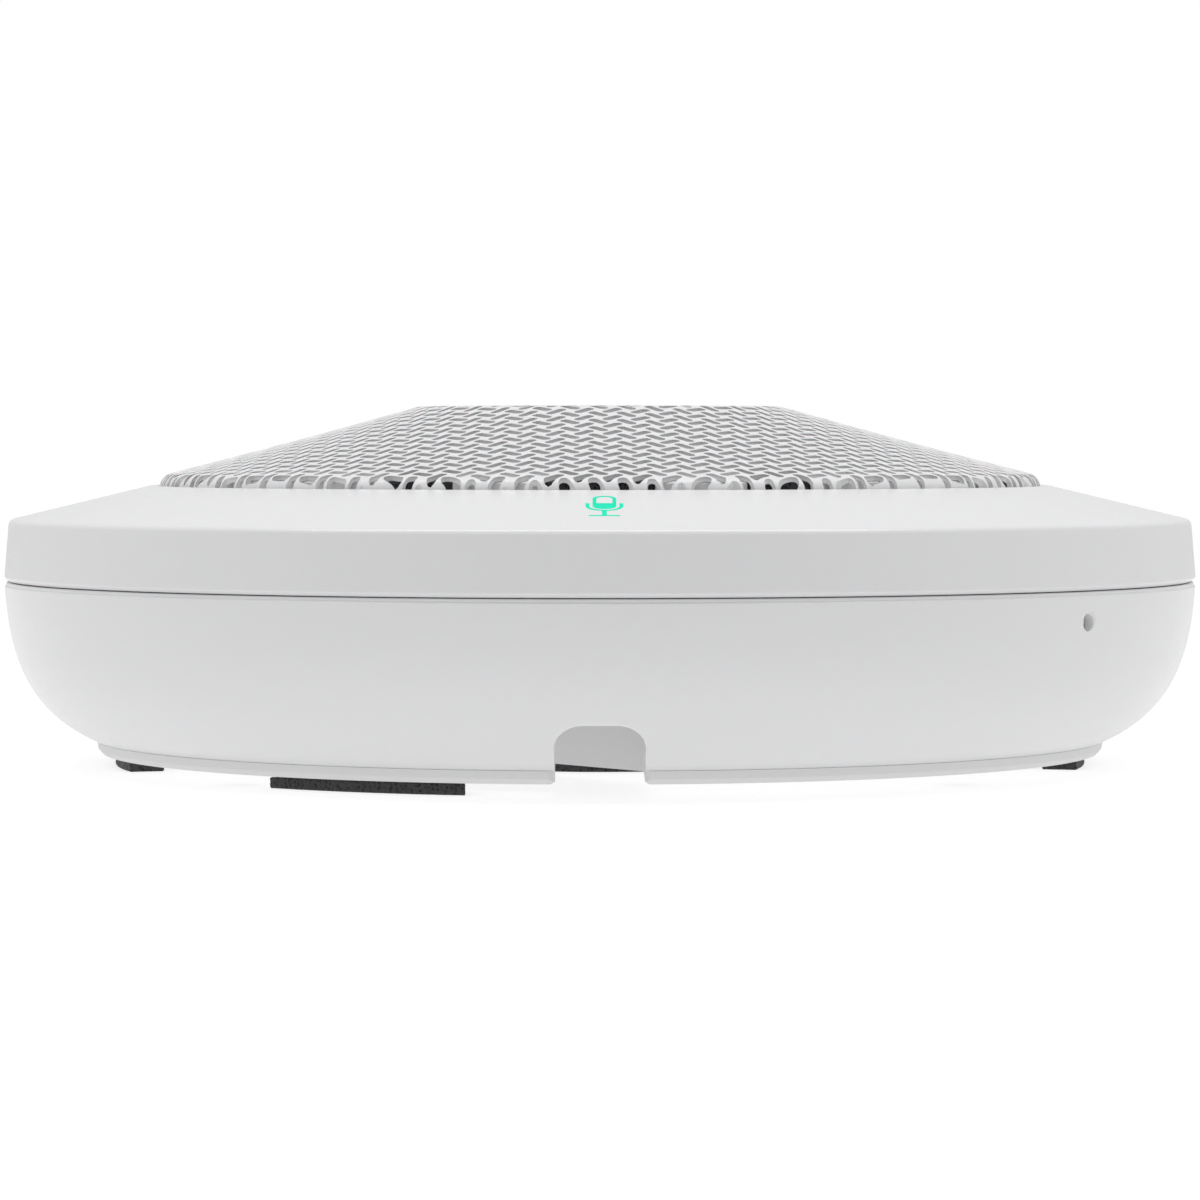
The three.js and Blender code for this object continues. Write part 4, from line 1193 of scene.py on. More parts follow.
@dataclass
class FootPads:
    """The foam pads that the device stands on: four arcs near the rim and one disc in the middle."""

    top: float = 2.1
    inner: float = 91.0
    outer: float = 98.0
    disc_radius: float = 33.0
    half_span: float = 16.0
    left_half_span: float = 19.5
    front: tuple[float, float] = (-39.2, -14.6)
    front_inner: tuple[float, float] = (-36.0, -15.9)
    roughness: float = 0.16

    def arc(self, name: str, span: tuple[float, float], inner_span: tuple[float, float]) -> bpy.types.Object:
        """Makes one arc pad.

        Args:
            name: The piece's name.
            span: The first and last angles of the outer edge, in degrees from the front.
            inner_span: The same for the inner edge.

        Returns:
            The pad, its cut edges uneven as a punched foam's are.
        """
        along, across = 44, 9
        start_out, end_out = on_circle(self.outer, span[0] - 90.0), on_circle(self.outer, span[1] - 90.0)
        start_in = on_circle(self.inner, inner_span[0] - 90.0)
        end_in = on_circle(self.inner, inner_span[1] - 90.0)

        def edge(radius: float, limits: tuple[float, float]) -> list[Point]:
            """Gives points along one curved edge."""
            return [on_circle(radius, limits[0] + (limits[1] - limits[0]) * i / along - 90.0)
                    for i in range(along + 1)]

        def cut(first: Point, last: Point) -> list[Point]:
            """Gives points along one straight end, its corners left out."""
            return [tuple(Vector(first).lerp(Vector(last), i / across)) for i in range(1, across)]

        ring = [*edge(self.outer, span), *cut(end_out, end_in), *reversed(edge(self.inner, inner_span)),
                *cut(start_in, start_out)]
        return self.slab(name, ring)

    def slab(self, name: str, outline: Sequence[Point]) -> bpy.types.Object:
        """Stands an outline up in many layers whose sides wander a little.

        Args:
            name: The piece's name.
            outline: The plan, anticlockwise.

        Returns:
            The pad.
        """
        layers = 8
        rings = []
        for layer in range(layers + 1):
            height = self.top * layer / layers
            edge = 0.22 if layer in (0, layers) else 0.0
            ring = []
            for index, point in enumerate(outline):
                here = Vector(point)
                before = Vector(outline[index - 1])
                after = Vector(outline[(index + 1) % len(outline)])
                along = (after - before).normalized()
                inward = Vector((-along.y, along.x))
                wobble = (math.sin(index * 2.399 + layer * 1.7) + math.sin(index * 5.13 - layer * 2.9)) / 2.0
                moved = here + inward * (edge + self.roughness * (1.0 + wobble) / 2.0)
                ring.append(Vector((moved.x, moved.y, height)))
            rings.append(ring)
        return lofted(name, rings, 60.0)

    def build(self, kit: Kit) -> None:
        """Args:
            kit: The finishing kit.
        """
        spans = {
            "front": self.front,
            "right": (90.0 - self.half_span, 90.0 + self.half_span),
            "rear": (180.0 - self.half_span, 180.0 + self.half_span),
            "left": (270.0 - self.left_half_span, 270.0 + self.left_half_span),
        }
        inner = {"front": self.front_inner}
        pads = {name: self.arc(f"foam_pad_{name}", span, inner.get(name, span))
                for name, span in spans.items()}
        disc = [on_circle(self.disc_radius, 360.0 * i / 120.0) for i in range(120)]
        pads["centre"] = self.slab("foam_pad_centre", disc)
        for name, pad in pads.items():
            kit.finish(pad, Slot.BLACK_FOAM, [f"foot_pad_{name}"])


# ---- grille -----------------------------------------------------------------------------------------


@dataclass
class Grille:
    """The perforated dome: a thin shell with a herringbone lattice of upright slots."""

    top: float = 72.0
    radius: float = 89.0
    wall: float = 1.0
    top_fillet: float = 8.0
    shoulder_fillet: float = 3.2
    inner_fillet: float = 1.2
    bottom: float = 53.0
    cone_start: float = 36.57
    cone_fall: float = 0.287
    cone_ease: float = 0.00037
    pitch_x: float = 5.46
    pitch_y: float = 5.175
    first_x: float = -0.34
    first_y: float = -83.75
    slot_length: float = 4.6
    slot_width: float = 2.05
    chamfer: float = 0.12
    clearance: float = 0.12

    @classmethod
    def from_frame(cls) -> "Grille":
        """Takes the dome's height and radius from the frame.

        Returns:
            The grille's sizes.
        """
        low, high = box_mm("grille_dome")
        return cls(top=high.z, radius=round(high.x, 1), bottom=low.z)

    @property
    def drop(self) -> float:
        """Upright thickness of the wall on the cone."""
        return self.wall * math.hypot(1.0, self.cone_fall)

    def cone(self, radius: float) -> float:
        """Height of the cone at a distance from the axis; its fall eases off outwards."""
        out = radius - self.cone_start
        return self.top - self.cone_fall * out + self.cone_ease * out * out

    def under(self, radius: float) -> float:
        """Height that a piece under the dome may reach at a distance from the axis."""
        return self.cone(radius) - self.drop - self.clearance

    def cone_points(self, drop: float, last: float) -> list[Corner]:
        """Points on the cone, lowered by a distance, from near its top to near a radius.

        Args:
            drop: How far below the cone they lie.
            last: The radius of the last one.

        Returns:
            The points.
        """
        steps = 5
        first = self.cone_start + 5.0
        radii = [first + (last - first) * index / steps for index in range(steps + 1)]
        return [(radius, self.cone(radius) - drop) for radius in radii]

    def shell(self) -> bpy.types.Object:
        """Makes the dome without its slots.

        Returns:
            The closed shell.
        """
        inner_top = self.top - self.wall
        inner_radius = self.radius - self.wall
        last = self.radius - self.shoulder_fillet
        corners: list[Corner] = [
            (0.0, self.top),
            (self.cone_start, self.top, self.top_fillet),
            *self.cone_points(0.0, last),
            (self.radius, self.cone(self.radius), self.shoulder_fillet),
            (self.radius, self.bottom),
            (inner_radius, self.bottom),
            (inner_radius, self.cone(inner_radius) - self.drop, self.inner_fillet),
            *reversed(self.cone_points(self.drop, inner_radius - 2.0 * self.inner_fillet)),
            (self.cone_start - 0.2, inner_top, self.top_fillet - self.wall),
            (0.0, inner_top),
        ]
        return revolved("grille_lattice", fillet(corners, 6), 144)

    def slot_tree(self) -> bpy.types.NodeTree:
        """Builds the geometry tree that cuts the lattice.

        Returns:
            A tree with named inputs for the pitch, the slot and the cone.
        """
        names = ("Pitch X", "Pitch Y", "First X", "First Y", "Slot Length", "Slot Width", "Chamfer",
                 "Top", "Cone Start", "Cone Fall", "Cone Ease", "Reach")
        group = new_group("herringbone_slots", "GeometryNodeTree", [
            ("Geometry", "INPUT", "NodeSocketGeometry", None),
            *((name, "INPUT", "NodeSocketFloat", 0.0) for name in names),
            ("Material", "INPUT", "NodeSocketMaterial", None),
            ("Geometry", "OUTPUT", "NodeSocketGeometry", None),
        ])
        tree = Tree(group)
        into = tree.add("NodeGroupInput").outputs
        cutter = self._cutter(tree, into)
        columns = []
        for turn, shift in ((-1.0, 0.0), (1.0, 0.5)):
            columns.append(self._lattice(tree, into, cutter, turn, shift))
        joined = tree.add("GeometryNodeJoinGeometry")
        for column in columns:
            group.links.new(column, joined.inputs[0])
        real = tree.add("GeometryNodeRealizeInstances", {0: joined.outputs[0]})
        placed = self._follow_surface(tree, into, real.outputs[0])
        cut = tree.add("GeometryNodeMeshBoolean", {0: into["Geometry"]}, operation="DIFFERENCE",
                       solver="MANIFOLD")
        group.links.new(placed, cut.inputs[1])
        whole = tree.add("GeometryNodeRealizeInstances", {0: cut.outputs[0]})
        dressed = tree.add("GeometryNodeSetMaterial", {0: whole.outputs[0], "Material": into["Material"]})
        tree.add("NodeGroupOutput", {0: dressed.outputs[0]})
        return group

    @staticmethod
    def _cutter(tree: Tree, into: bpy.types.NodeInputs) -> bpy.types.NodeSocket:
        """One slot's cutter: a rounded bar in four layers, the upper two wider by the chamfer.

        Args:
            tree: The tree that it is added to.
            into: The tree's inputs.

        Returns:
            The cutter's mesh.
        """
        bar = tree.add("GeometryNodeMeshCylinder", {"Vertices": 10, "Side Segments": 3, "Fill Segments": 1,
                                                    "Radius": 1.0, "Depth": 3.0}, fill_type="NGON")
        place = tree.add("GeometryNodeInputPosition").outputs[0]
        axes = tree.add("ShaderNodeSeparateXYZ", {0: place}).outputs
        upper = tree.math("GREATER_THAN", axes[2], 0.0)
        half_width = tree.math("MULTIPLY", into["Slot Width"], 0.5)
        reach = tree.math("ADD", half_width, tree.math("MULTIPLY", upper, into["Chamfer"]))
        straight = tree.math("MULTIPLY", tree.math("SUBTRACT", into["Slot Length"], into["Slot Width"]), 0.5)
        along = tree.math("ADD", tree.math("MULTIPLY", axes[0], reach),
                          tree.math("MULTIPLY", tree.math("SIGN", axes[0]), straight))
        across = tree.math("MULTIPLY", axes[1], reach)
        shape = tree.add("ShaderNodeCombineXYZ", {0: along, 1: across, 2: axes[2]})
        placed = tree.add("GeometryNodeSetPosition", {0: bar.outputs["Mesh"], "Position": shape.outputs[0]})
        return placed.outputs[0]

    @staticmethod
    def _lattice(tree: Tree, into: bpy.types.NodeInputs, cutter: bpy.types.NodeSocket, turn: float,
                 shift: float) -> bpy.types.NodeSocket:
        """Cutters on one of the two interleaved grids, all turned the same way.

        Args:
            tree: The tree that they are added to.
            into: The tree's inputs.
            cutter: The cutter's mesh.
            turn: -1 or 1, for the way that they lean.
            shift: How far the grid is moved both ways, in pitches.

        Returns:
            The placed cutters.
        """
        count = 43
        grid = tree.add("GeometryNodeMeshGrid", {
            "Size X": tree.math("MULTIPLY", into["Pitch X"], count - 1.0),
            "Size Y": tree.math("MULTIPLY", into["Pitch Y"], count - 1.0),
            "Vertices X": count, "Vertices Y": count})
        offset_x = tree.math("ADD", into["First X"], tree.math("MULTIPLY", into["Pitch X"], shift))
        rows = tree.math("ROUND", tree.math("DIVIDE", into["First Y"], into["Pitch Y"]), 0.0)
        phase = tree.math("SUBTRACT", into["First Y"], tree.math("MULTIPLY", rows, into["Pitch Y"]))
        offset_y = tree.math("ADD", phase, tree.math("MULTIPLY", into["Pitch Y"], shift))
        offset = tree.add("ShaderNodeCombineXYZ", {0: offset_x, 1: offset_y})
        moved = tree.add("GeometryNodeSetPosition", {0: grid.outputs["Mesh"], "Offset": offset.outputs[0]})
        place = tree.add("GeometryNodeInputPosition").outputs[0]
        length = tree.add("ShaderNodeVectorMath", {0: place}, operation="LENGTH").outputs["Value"]
        outside = tree.math("GREATER_THAN", length, into["Reach"])
        kept = tree.add("GeometryNodeDeleteGeometry", {0: moved.outputs[0], 1: outside}, domain="POINT")
        points = tree.add("GeometryNodeMeshToPoints", {0: kept.outputs[0]})
        placed = tree.add("GeometryNodeInstanceOnPoints", {0: points.outputs[0], 2: cutter,
                                                           "Rotation": (0.0, 0.0, math.radians(45.0 * turn))})
        return placed.outputs[0]

    @staticmethod
    def _follow_surface(tree: Tree, into: bpy.types.NodeInputs,
                        cutters: bpy.types.NodeSocket) -> bpy.types.NodeSocket:
        """Moves each layer of the cutters to its height, so that the chamfer follows the dome.

        Args:
            tree: The tree that the steps are added to.
            into: The tree's inputs.
            cutters: The cutters, laid out flat.

        Returns:
            The cutters in place.
        """
        place = tree.add("GeometryNodeInputPosition").outputs[0]
        axes = tree.add("ShaderNodeSeparateXYZ", {0: place}).outputs
        flat = tree.add("ShaderNodeCombineXYZ", {0: axes[0], 1: axes[1]})
        radius = tree.add("ShaderNodeVectorMath", {0: flat.outputs[0]}, operation="LENGTH").outputs["Value"]
        out = tree.math("MAXIMUM", tree.math("SUBTRACT", radius, into["Cone Start"]), 0.0)
        fall = tree.math("SUBTRACT", into["Cone Fall"], tree.math("MULTIPLY", out, into["Cone Ease"]))
        surface = tree.math("SUBTRACT", into["Top"], tree.math("MULTIPLY", out, fall))
        below = tree.math("SUBTRACT", surface, into["Chamfer"])
        deep = tree.math("SUBTRACT", surface, 0.03)
        lifted = tree.math("ADD", surface, 0.03)
        height = deep
        for above, value in ((-1.0, below), (0.0, surface), (1.0, lifted)):
            chosen = tree.math("GREATER_THAN", axes[2], above)
            part = tree.math("MULTIPLY", chosen, tree.math("SUBTRACT", value, height))
            height = tree.math("ADD", height, part)
        shape = tree.add("ShaderNodeCombineXYZ", {0: axes[0], 1: axes[1], 2: height})
        return tree.add("GeometryNodeSetPosition", {0: cutters, "Position": shape.outputs[0]}).outputs[0]

    def build(self, kit: Kit) -> None:
        """Args:
            kit: The finishing kit.
        """
        piece = self.shell()
        modifier = piece.modifiers.new("slots", "NODES")
        modifier.node_group = self.slot_tree()
        values = {
            "Pitch X": self.pitch_x, "Pitch Y": self.pitch_y,
            "First X": self.first_x, "First Y": self.first_y,
            "Slot Length": self.slot_length, "Slot Width": self.slot_width, "Chamfer": self.chamfer,
            "Top": self.top, "Cone Start": self.cone_start, "Reach": self.radius + 1.5,
        }
        plain = {"Cone Fall": self.cone_fall, "Cone Ease": self.cone_ease / MM}
        for item in modifier.node_group.interface.items_tree:
            if item.in_out != "INPUT":
                continue
            if item.name in values:
                modifier[item.identifier] = values[item.name] * MM
            elif item.name in plain:
                modifier[item.identifier] = plain[item.name]
            elif item.name == "Material":
                modifier[item.identifier] = kit.palette.materials[Slot.WHITE_GRILLE]
        evaluated(piece)
        smooth(piece, 28.0)
        kit.finish(piece, Slot.WHITE_GRILLE, ["grille_dome"])


@dataclass
class UnderGrille:
    """What shows through the grille: the cloth, the windowed ring and the foam over the microphones."""

    grille: Grille
    cloth_radius: float = 81.8
    cloth_thickness: float = 0.5
    ring_inner: float = 82.2
    ring_outer: float = 86.8
    window_plan: tuple[Point, ...] = ((0.0, 10.2), (-22.8, 6.7), (22.8, 6.7))
    foam_inner: float = 74.0
    foam_outer: float = 81.0
    foam_top: float = 56.4

    def cloth(self) -> bpy.types.Object:
        """Makes the cloth, which lies a little under the dome.

        Returns:
            The closed thin sheet.
        """
        g = self.grille
        drop = g.drop + 0.3
        top = g.top - g.wall - 0.3
        slope = g.cone_points(drop, self.cloth_radius)
        upper = fillet([(0.0, top), (g.cone_start - 0.4, top, 6.0), *slope], 6, False)
        lower = [(r, z - self.cloth_thickness) for r, z in reversed(upper)]
        return revolved("acoustic_cloth_cone", [*upper, *lower], 160)

    def windows(self, margin: float, bottom: float) -> list[bpy.types.Object]:
        """Makes blocks that fill the ring's windows, less a margin at each side.

        Args:
            margin: What each block leaves free at its sides.
            bottom: The blocks' lowest height.

        Returns:
            Three blocks in each quarter.
        """
        blocks = []
        for quarter in range(4):
            for middle, half in self.window_plan:
                block = box_piece("window", (margin - half, -89.0, bottom), (half - margin, -79.0, 60.0))
                block.data.transform(Matrix.Rotation(math.radians(90.0 * quarter + middle), 4, "Z"))
                blocks.append(block)
        return blocks

    def carrier(self) -> bpy.types.Object:
        """Makes the stiff ring under the grille's edge, with its windows.

        Returns:
            The ring.
        """
        g = self.grille
        corners: list[Corner] = [(self.ring_inner, g.bottom), (self.ring_outer, g.bottom),
                                 (self.ring_outer, g.under(self.ring_outer), 0.3),
                                 (self.ring_inner, g.under(self.ring_inner), 0.3)]
        ring = revolved("window_ring", fillet(corners, 4), 240)
        combine(ring, self.windows(0.0, g.bottom + 1.0), "DIFFERENCE")
        return ring

    def foam(self) -> bpy.types.Object:
        """Makes the foam ring over the microphone board, with a tab that fills each window.

        Returns:
            The foam.
        """
        g = self.grille
        inner, outer = self.foam_outer - 0.5, self.ring_outer - 0.3
        edge = self.cloth_radius + 0.3
        bottom = g.bottom + 1.5
        under_cloth = g.under(self.cloth_radius) - self.cloth_thickness - 0.3
        fan = revolved("foam_fan", [(inner, bottom), (outer, bottom), (outer, g.under(outer)),
                                    (edge, g.under(edge)), (edge, under_cloth), (inner, under_cloth)], 240)
        tabs = self.windows(0.3, bottom - 1.0)
        combine(tabs[0], tabs[1:], "UNION")
        combine(fan, tabs[:1], "INTERSECT")
        ring = revolved("mic_foam", fillet([(self.foam_inner, bottom, 0.3), (self.foam_outer, bottom, 0.3),
                                            (self.foam_outer, self.foam_top, 0.4),
                                            (self.foam_inner, self.foam_top, 0.4)], 3), 160)
        combine(ring, [fan], "UNION")
        return ring

    def build(self, kit: Kit) -> None:
        """Args:
            kit: The finishing kit.
        """
        cloth = kit.finish(self.cloth(), Slot.GREY_CLOTH, ["grille_liner"])
        kit.finish(self.carrier(), Slot.WHITE_INNER, ["grille_carrier"])
        foam = kit.finish(self.foam(), Slot.BLACK_FOAM, ["mic_foam_ring"])


# ---- symbol and reset button ------------------------------------------------------------------------


@dataclass
class Symbol:
    """The lit microphone symbol: a half-filled capsule over a cradle with a stem and a foot."""

    sizes: ShellSizes
    distance: float = 102.2
    side: float = 0.8
    stroke: float = 0.7
    depth: float = 0.5
    proud: float = 0.03

    def place(self, x: float, y: float, level: float) -> Vector:
        """Lays a point of the flat symbol on the bezel's slope.

        Args:
            x: Distance to the right.
            y: Distance up the slope.
            level: Height over the slope.

        Returns:
            The point in the frame, in millimetres.
        """
        cosine = 1.0 / math.hypot(1.0, self.sizes.slope_fall)
        px = self.side + x
        py = -self.distance + y * cosine
        return Vector((px, py, self.sizes.slope_height(math.hypot(px, py)) + level))

    def solid(self, name: str, outlines: Sequence[Sequence[Point]]) -> bpy.types.Object:
        """Fills flat outlines, the later ones holes, and gives them the inlay's depth.

        Args:
            name: The piece's name.
            outlines: Closed outlines; the first is the outer one.

        Returns:
            The inlay.
        """
        work = bmesh.new()
        edges = []
        for outline in outlines:
            verts = [work.verts.new((x, y, 0.0)) for x, y in outline]
            edges += [work.edges.new((verts[i], verts[(i + 1) % len(verts)])) for i in range(len(verts))]
        bmesh.ops.triangle_fill(work, edges=edges, use_beauty=True)
        bmesh.ops.recalc_face_normals(work, faces=work.faces)
        if sum(face.normal.z for face in work.faces) < 0:
            bmesh.ops.reverse_faces(work, faces=work.faces)
        top = list(work.faces)
        extruded = bmesh.ops.extrude_face_region(work, geom=top, use_keep_orig=True)
        lowered = [item for item in extruded["geom"] if isinstance(item, bmesh.types.BMVert)]
        for vert in lowered:
            vert.co.z = -1.0
        bmesh.ops.recalc_face_normals(work, faces=work.faces)
        for vert in work.verts:
            level = self.proud if vert.co.z > -0.5 else -self.depth
            vert.co = self.place(vert.co.x, vert.co.y, level)
        return link_mesh(name, work)

    def capsule(self) -> list[list[Point]]:
        """The capsule's outline and the hollow of its upper half.

        Returns:
            The outer outline, then the hole.
        """
        half, low, high = 2.16, -2.26, 7.35
        inner, split = half - self.stroke, 1.97
        outer = fillet([(-half, low, half - 0.01), (half, low, half - 0.01), (half, high, half - 0.01),
                        (-half, high, half - 0.01)], 14)
        rim = high - self.stroke
        hollow = fillet([(-inner, split), (inner, split), (inner, rim, inner - 0.01),
                         (-inner, rim, inner - 0.01)], 12)
        return [outer, hollow]

    def cradle(self) -> list[list[Point]]:
        """The cradle's outline with its stem and foot.

        Returns:
            The one outline.
        """
        outer, centre = 3.44, -0.17
        inner = outer - self.stroke
        stem, foot, foot_top, foot_low = 0.44, 2.8, -6.6, -7.3
        arm_top = 1.97
        start = math.acos(stem / outer)

        def sweep(radius: float, first: float, last: float, steps: int = 16) -> list[Point]:
            """Gives points on an arc about the cradle's centre."""
            angles = [first + (last - first) * i / steps for i in range(steps + 1)]
            return [(radius * math.cos(a), centre + radius * math.sin(a)) for a in angles]

        foot_points = [(-stem, foot_top), (-foot, foot_top), (-foot, foot_low), (foot, foot_low),
                       (foot, foot_top), (stem, foot_top)]
        return [[(-outer, arm_top), *sweep(outer, -math.pi, -math.pi + start), *foot_points,
                 *sweep(outer, -start, 0.0), (outer, arm_top), (inner, arm_top),
                 *sweep(inner, 0.0, -math.pi, 26), (-inner, arm_top)]]

    def build(self, kit: Kit) -> None:
        """Args:
            kit: The finishing kit.
        """
        capsule = self.solid("symbol_capsule", self.capsule())
        kit.finish(capsule, Slot.SYMBOL_LIGHT, ["symbol_capsule_inlay"])
        cradle = self.solid("symbol_cradle", self.cradle())
        kit.finish(cradle, Slot.SYMBOL_LIGHT, ["symbol_cradle_inlay"])


@dataclass
class ResetButton:
    """The small plunger behind the side hole."""

    sizes: ShellSizes
    radius: float = 1.35
    tip: float = 117.6
    back: float = 108.0
    collar: tuple[float, float, float] = (2.6, 110.2, 111.7)

    def build(self, kit: Kit) -> None:
        """Args:
            kit: The finishing kit.
        """
        collar_radius, collar_back, collar_front = self.collar
        corners: list[Corner] = [(0.0, self.back), (self.radius, self.back, 0.2), (self.radius, collar_back),
                                 (collar_radius, collar_back, 0.25), (collar_radius, collar_front, 0.25),
                                 (self.radius, collar_front), (self.radius, self.tip, 0.3),
                                 (0.0, self.tip - 0.15)]
        piece = spoke("reset_plunger", fillet(corners, 4), self.sizes.reset_height,
                      self.sizes.reset_degrees, 40)
        kit.finish(piece, Slot.WHITE_INNER, ["reset_button"], Body.RESET)


# ---- screws and inner pieces ------------------------------------------------------------------------


@dataclass(frozen=True)
class ScrewKind:
    """One kind of screw. Its places, its length and its head's level come from the frame's nodes.

    Sizes are in millimetres. A screw that is driven from below has its head at its lowest level. A sunk
    head tapers to the shank; a pan head keeps its radius.
    """

    name: str
    nodes: str
    count: int
    head_radius: float
    shank_radius: float
    head_depth: float
    recess_depth: float
    from_below: bool = False
    sunk: bool = False


class Screws:
    """Every screw: one section and one cross recess for each kind, set out by Geometry Nodes."""

    def __init__(self) -> None:
        """Builds the shared layout tree."""
        self.tree = self._layout_tree()

    @staticmethod
    def _layout_tree() -> bpy.types.NodeTree:
        """Builds a tree that sets a screw out on a list of points and turns each copy by its own angle.

        Returns:
            A tree with inputs Geometry, Screw, Seed and Material.
        """
        group = new_group("screw_layout", "GeometryNodeTree", [
            ("Geometry", "INPUT", "NodeSocketGeometry", None),
            ("Screw", "INPUT", "NodeSocketObject", None),
            ("Seed", "INPUT", "NodeSocketInt", 7),
            ("Material", "INPUT", "NodeSocketMaterial", None),
            ("Geometry", "OUTPUT", "NodeSocketGeometry", None),
        ])
        tree = Tree(group)
        into = tree.add("NodeGroupInput").outputs
        screw = tree.add("GeometryNodeObjectInfo", {"Object": into["Screw"]})
        points = tree.add("GeometryNodeMeshToPoints", {0: into["Geometry"]})
        angle = tree.add("FunctionNodeRandomValue", {2: 0.0, 3: math.pi, "Seed": into["Seed"]},
                         data_type="FLOAT")
        turn = tree.add("ShaderNodeCombineXYZ", {2: angle.outputs[1]})
        placed = tree.add("GeometryNodeInstanceOnPoints",
                          {0: points.outputs[0], 2: screw.outputs["Geometry"]})
        group.links.new(turn.outputs[0], placed.inputs["Rotation"])
        real = tree.add("GeometryNodeRealizeInstances", {0: placed.outputs[0]})
        dressed = tree.add("GeometryNodeSetMaterial", {0: real.outputs[0], "Material": into["Material"]})
        tree.add("NodeGroupOutput", {0: dressed.outputs[0]})
        return group

    @staticmethod
    def _model(kind: ScrewKind, low: float, high: float) -> bpy.types.Object:
        """Makes one screw on the axis, with its cross recess.

        Args:
            kind: The screw.
            low: Its lowest level.
            high: Its highest level.

        Returns:
            The screw.
        """
        head, tip, up = (low, high, -1.0) if kind.from_below else (high, low, 1.0)
        neck = head - up * kind.head_depth
        corners: list[Corner] = [(0.0, tip), (kind.shank_radius, tip, 0.3), (kind.shank_radius, neck)]
        corners += [(kind.head_radius, head)] if kind.sunk else [(kind.head_radius, neck),
                                                                (kind.head_radius, head, 0.6)]
        model = revolved(f"{kind.name}_model", fillet([*corners, (0.0, head)], 4), 32)
        near, far = sorted((head - up * kind.recess_depth, head + up * 2.0))
        reach = kind.head_radius * 0.55
        bars = [box_piece("bar", (-x, -y, near), (x, y, far)) for x, y in ((0.28, reach), (reach, 0.28))]
        combine(model, bars, "DIFFERENCE")
        return model

    def lay_out(self, kit: Kit, kind: ScrewKind) -> None:
        """Args:
            kit: The finishing kit.
            kind: The screw and its nodes.
        """
        nodes = [f"{kind.nodes}_{index + 1}" for index in range(kind.count)]
        boxes = [box_mm(node) for node in nodes]
        model = self._model(kind, boxes[0][0].z, boxes[0][1].z)
        work = bmesh.new()
        for low, high in boxes:
            middle = (low + high) / 2.0
            work.verts.new((middle.x, middle.y, 0.0))
        piece = link_mesh(kind.name, work, None)
        modifier = piece.modifiers.new("layout", "NODES")
        modifier.node_group = self.tree
        settings = {"Screw": model, "Seed": 7, "Material": kit.palette.materials[Slot.STEEL]}
        for item in self.tree.interface.items_tree:
            if item.in_out == "INPUT" and item.name in settings:
                modifier[item.identifier] = settings[item.name]
        evaluated(piece)
        bpy.data.objects.remove(model)
        smooth(piece, 32.0)
        kit.finish(piece, Slot.STEEL, nodes)

    def build(self, kit: Kit) -> None:
        """Lays out the four kinds.

        Args:
            kit: The finishing kit.
        """
        self.lay_out(kit, ScrewKind("base_screws", "base_screw", 4, 3.0, 1.3, 1.9, 1.1, True, True))
        self.lay_out(kit, ScrewKind("board_screws", "board_screw", 4, 2.6, 1.2, 1.6, 0.9))
        self.lay_out(kit, ScrewKind("driver_screws", "driver_screw", 4, 1.9, 1.0, 1.4, 0.8))
        self.lay_out(kit, ScrewKind("lid_screws", "lid_screw", 4, 2.4, 1.0, 1.6, 0.8, True))


@dataclass
class Sockets:
    """The network socket and the USB socket that face the connector bay."""

    mouth: float = -17.7

    def build(self, kit: Kit) -> None:
        """Args:
            kit: The finishing kit.
        """
        lan = box_piece("network_socket", *box_mm("lan_socket"), 0.25)
        plug = box_piece("plug", (-46.9, self.mouth - 1.0, 8.6), (-35.1, self.mouth + 15.0, 16.6))
        latch = box_piece("latch", (-44.2, self.mouth - 1.0, 16.0), (-37.8, self.mouth + 9.0, 17.1))
        combine(lan, [plug, latch], "DIFFERENCE")
        contacts = []
        for index in range(8):
            x = -41.0 + (index - 3.5) * 1.02
            slope = [Vector((x - 0.22, self.mouth + 3.0, 9.4)), Vector((x + 0.22, self.mouth + 3.0, 9.4)),
                     Vector((x + 0.22, self.mouth + 3.0, 9.1)), Vector((x - 0.22, self.mouth + 3.0, 9.1))]
            end = [point + Vector((0.0, 13.0, 3.2)) for point in slope]
            contacts.append(lofted("contact", [slope, end]))
        combine(lan, contacts, "UNION")
        kit.finish(lan, Slot.SOCKET_STEEL, ["lan_socket"])
        usb = box_piece("usb_socket_shield", *box_mm("usb_socket"), 0.2)
        slot = fillet([(-59.7, 14.7, 1.25), (-51.3, 14.7, 1.25), (-51.3, 17.3, 1.25), (-59.7, 17.3, 1.25)], 6)
        hole = lofted("hole", [[Vector((x, y, z)) for x, z in slot]
                               for y in (self.mouth - 1.0, self.mouth + 6.0)])
        combine(usb, [hole], "DIFFERENCE")
        tongue = box_piece("tongue", (-58.9, self.mouth + 1.0, 15.65), (-52.1, self.mouth + 7.0, 16.35), 0.1)
        combine(usb, [tongue], "UNION")
        kit.finish(usb, Slot.SOCKET_STEEL, ["usb_socket"])


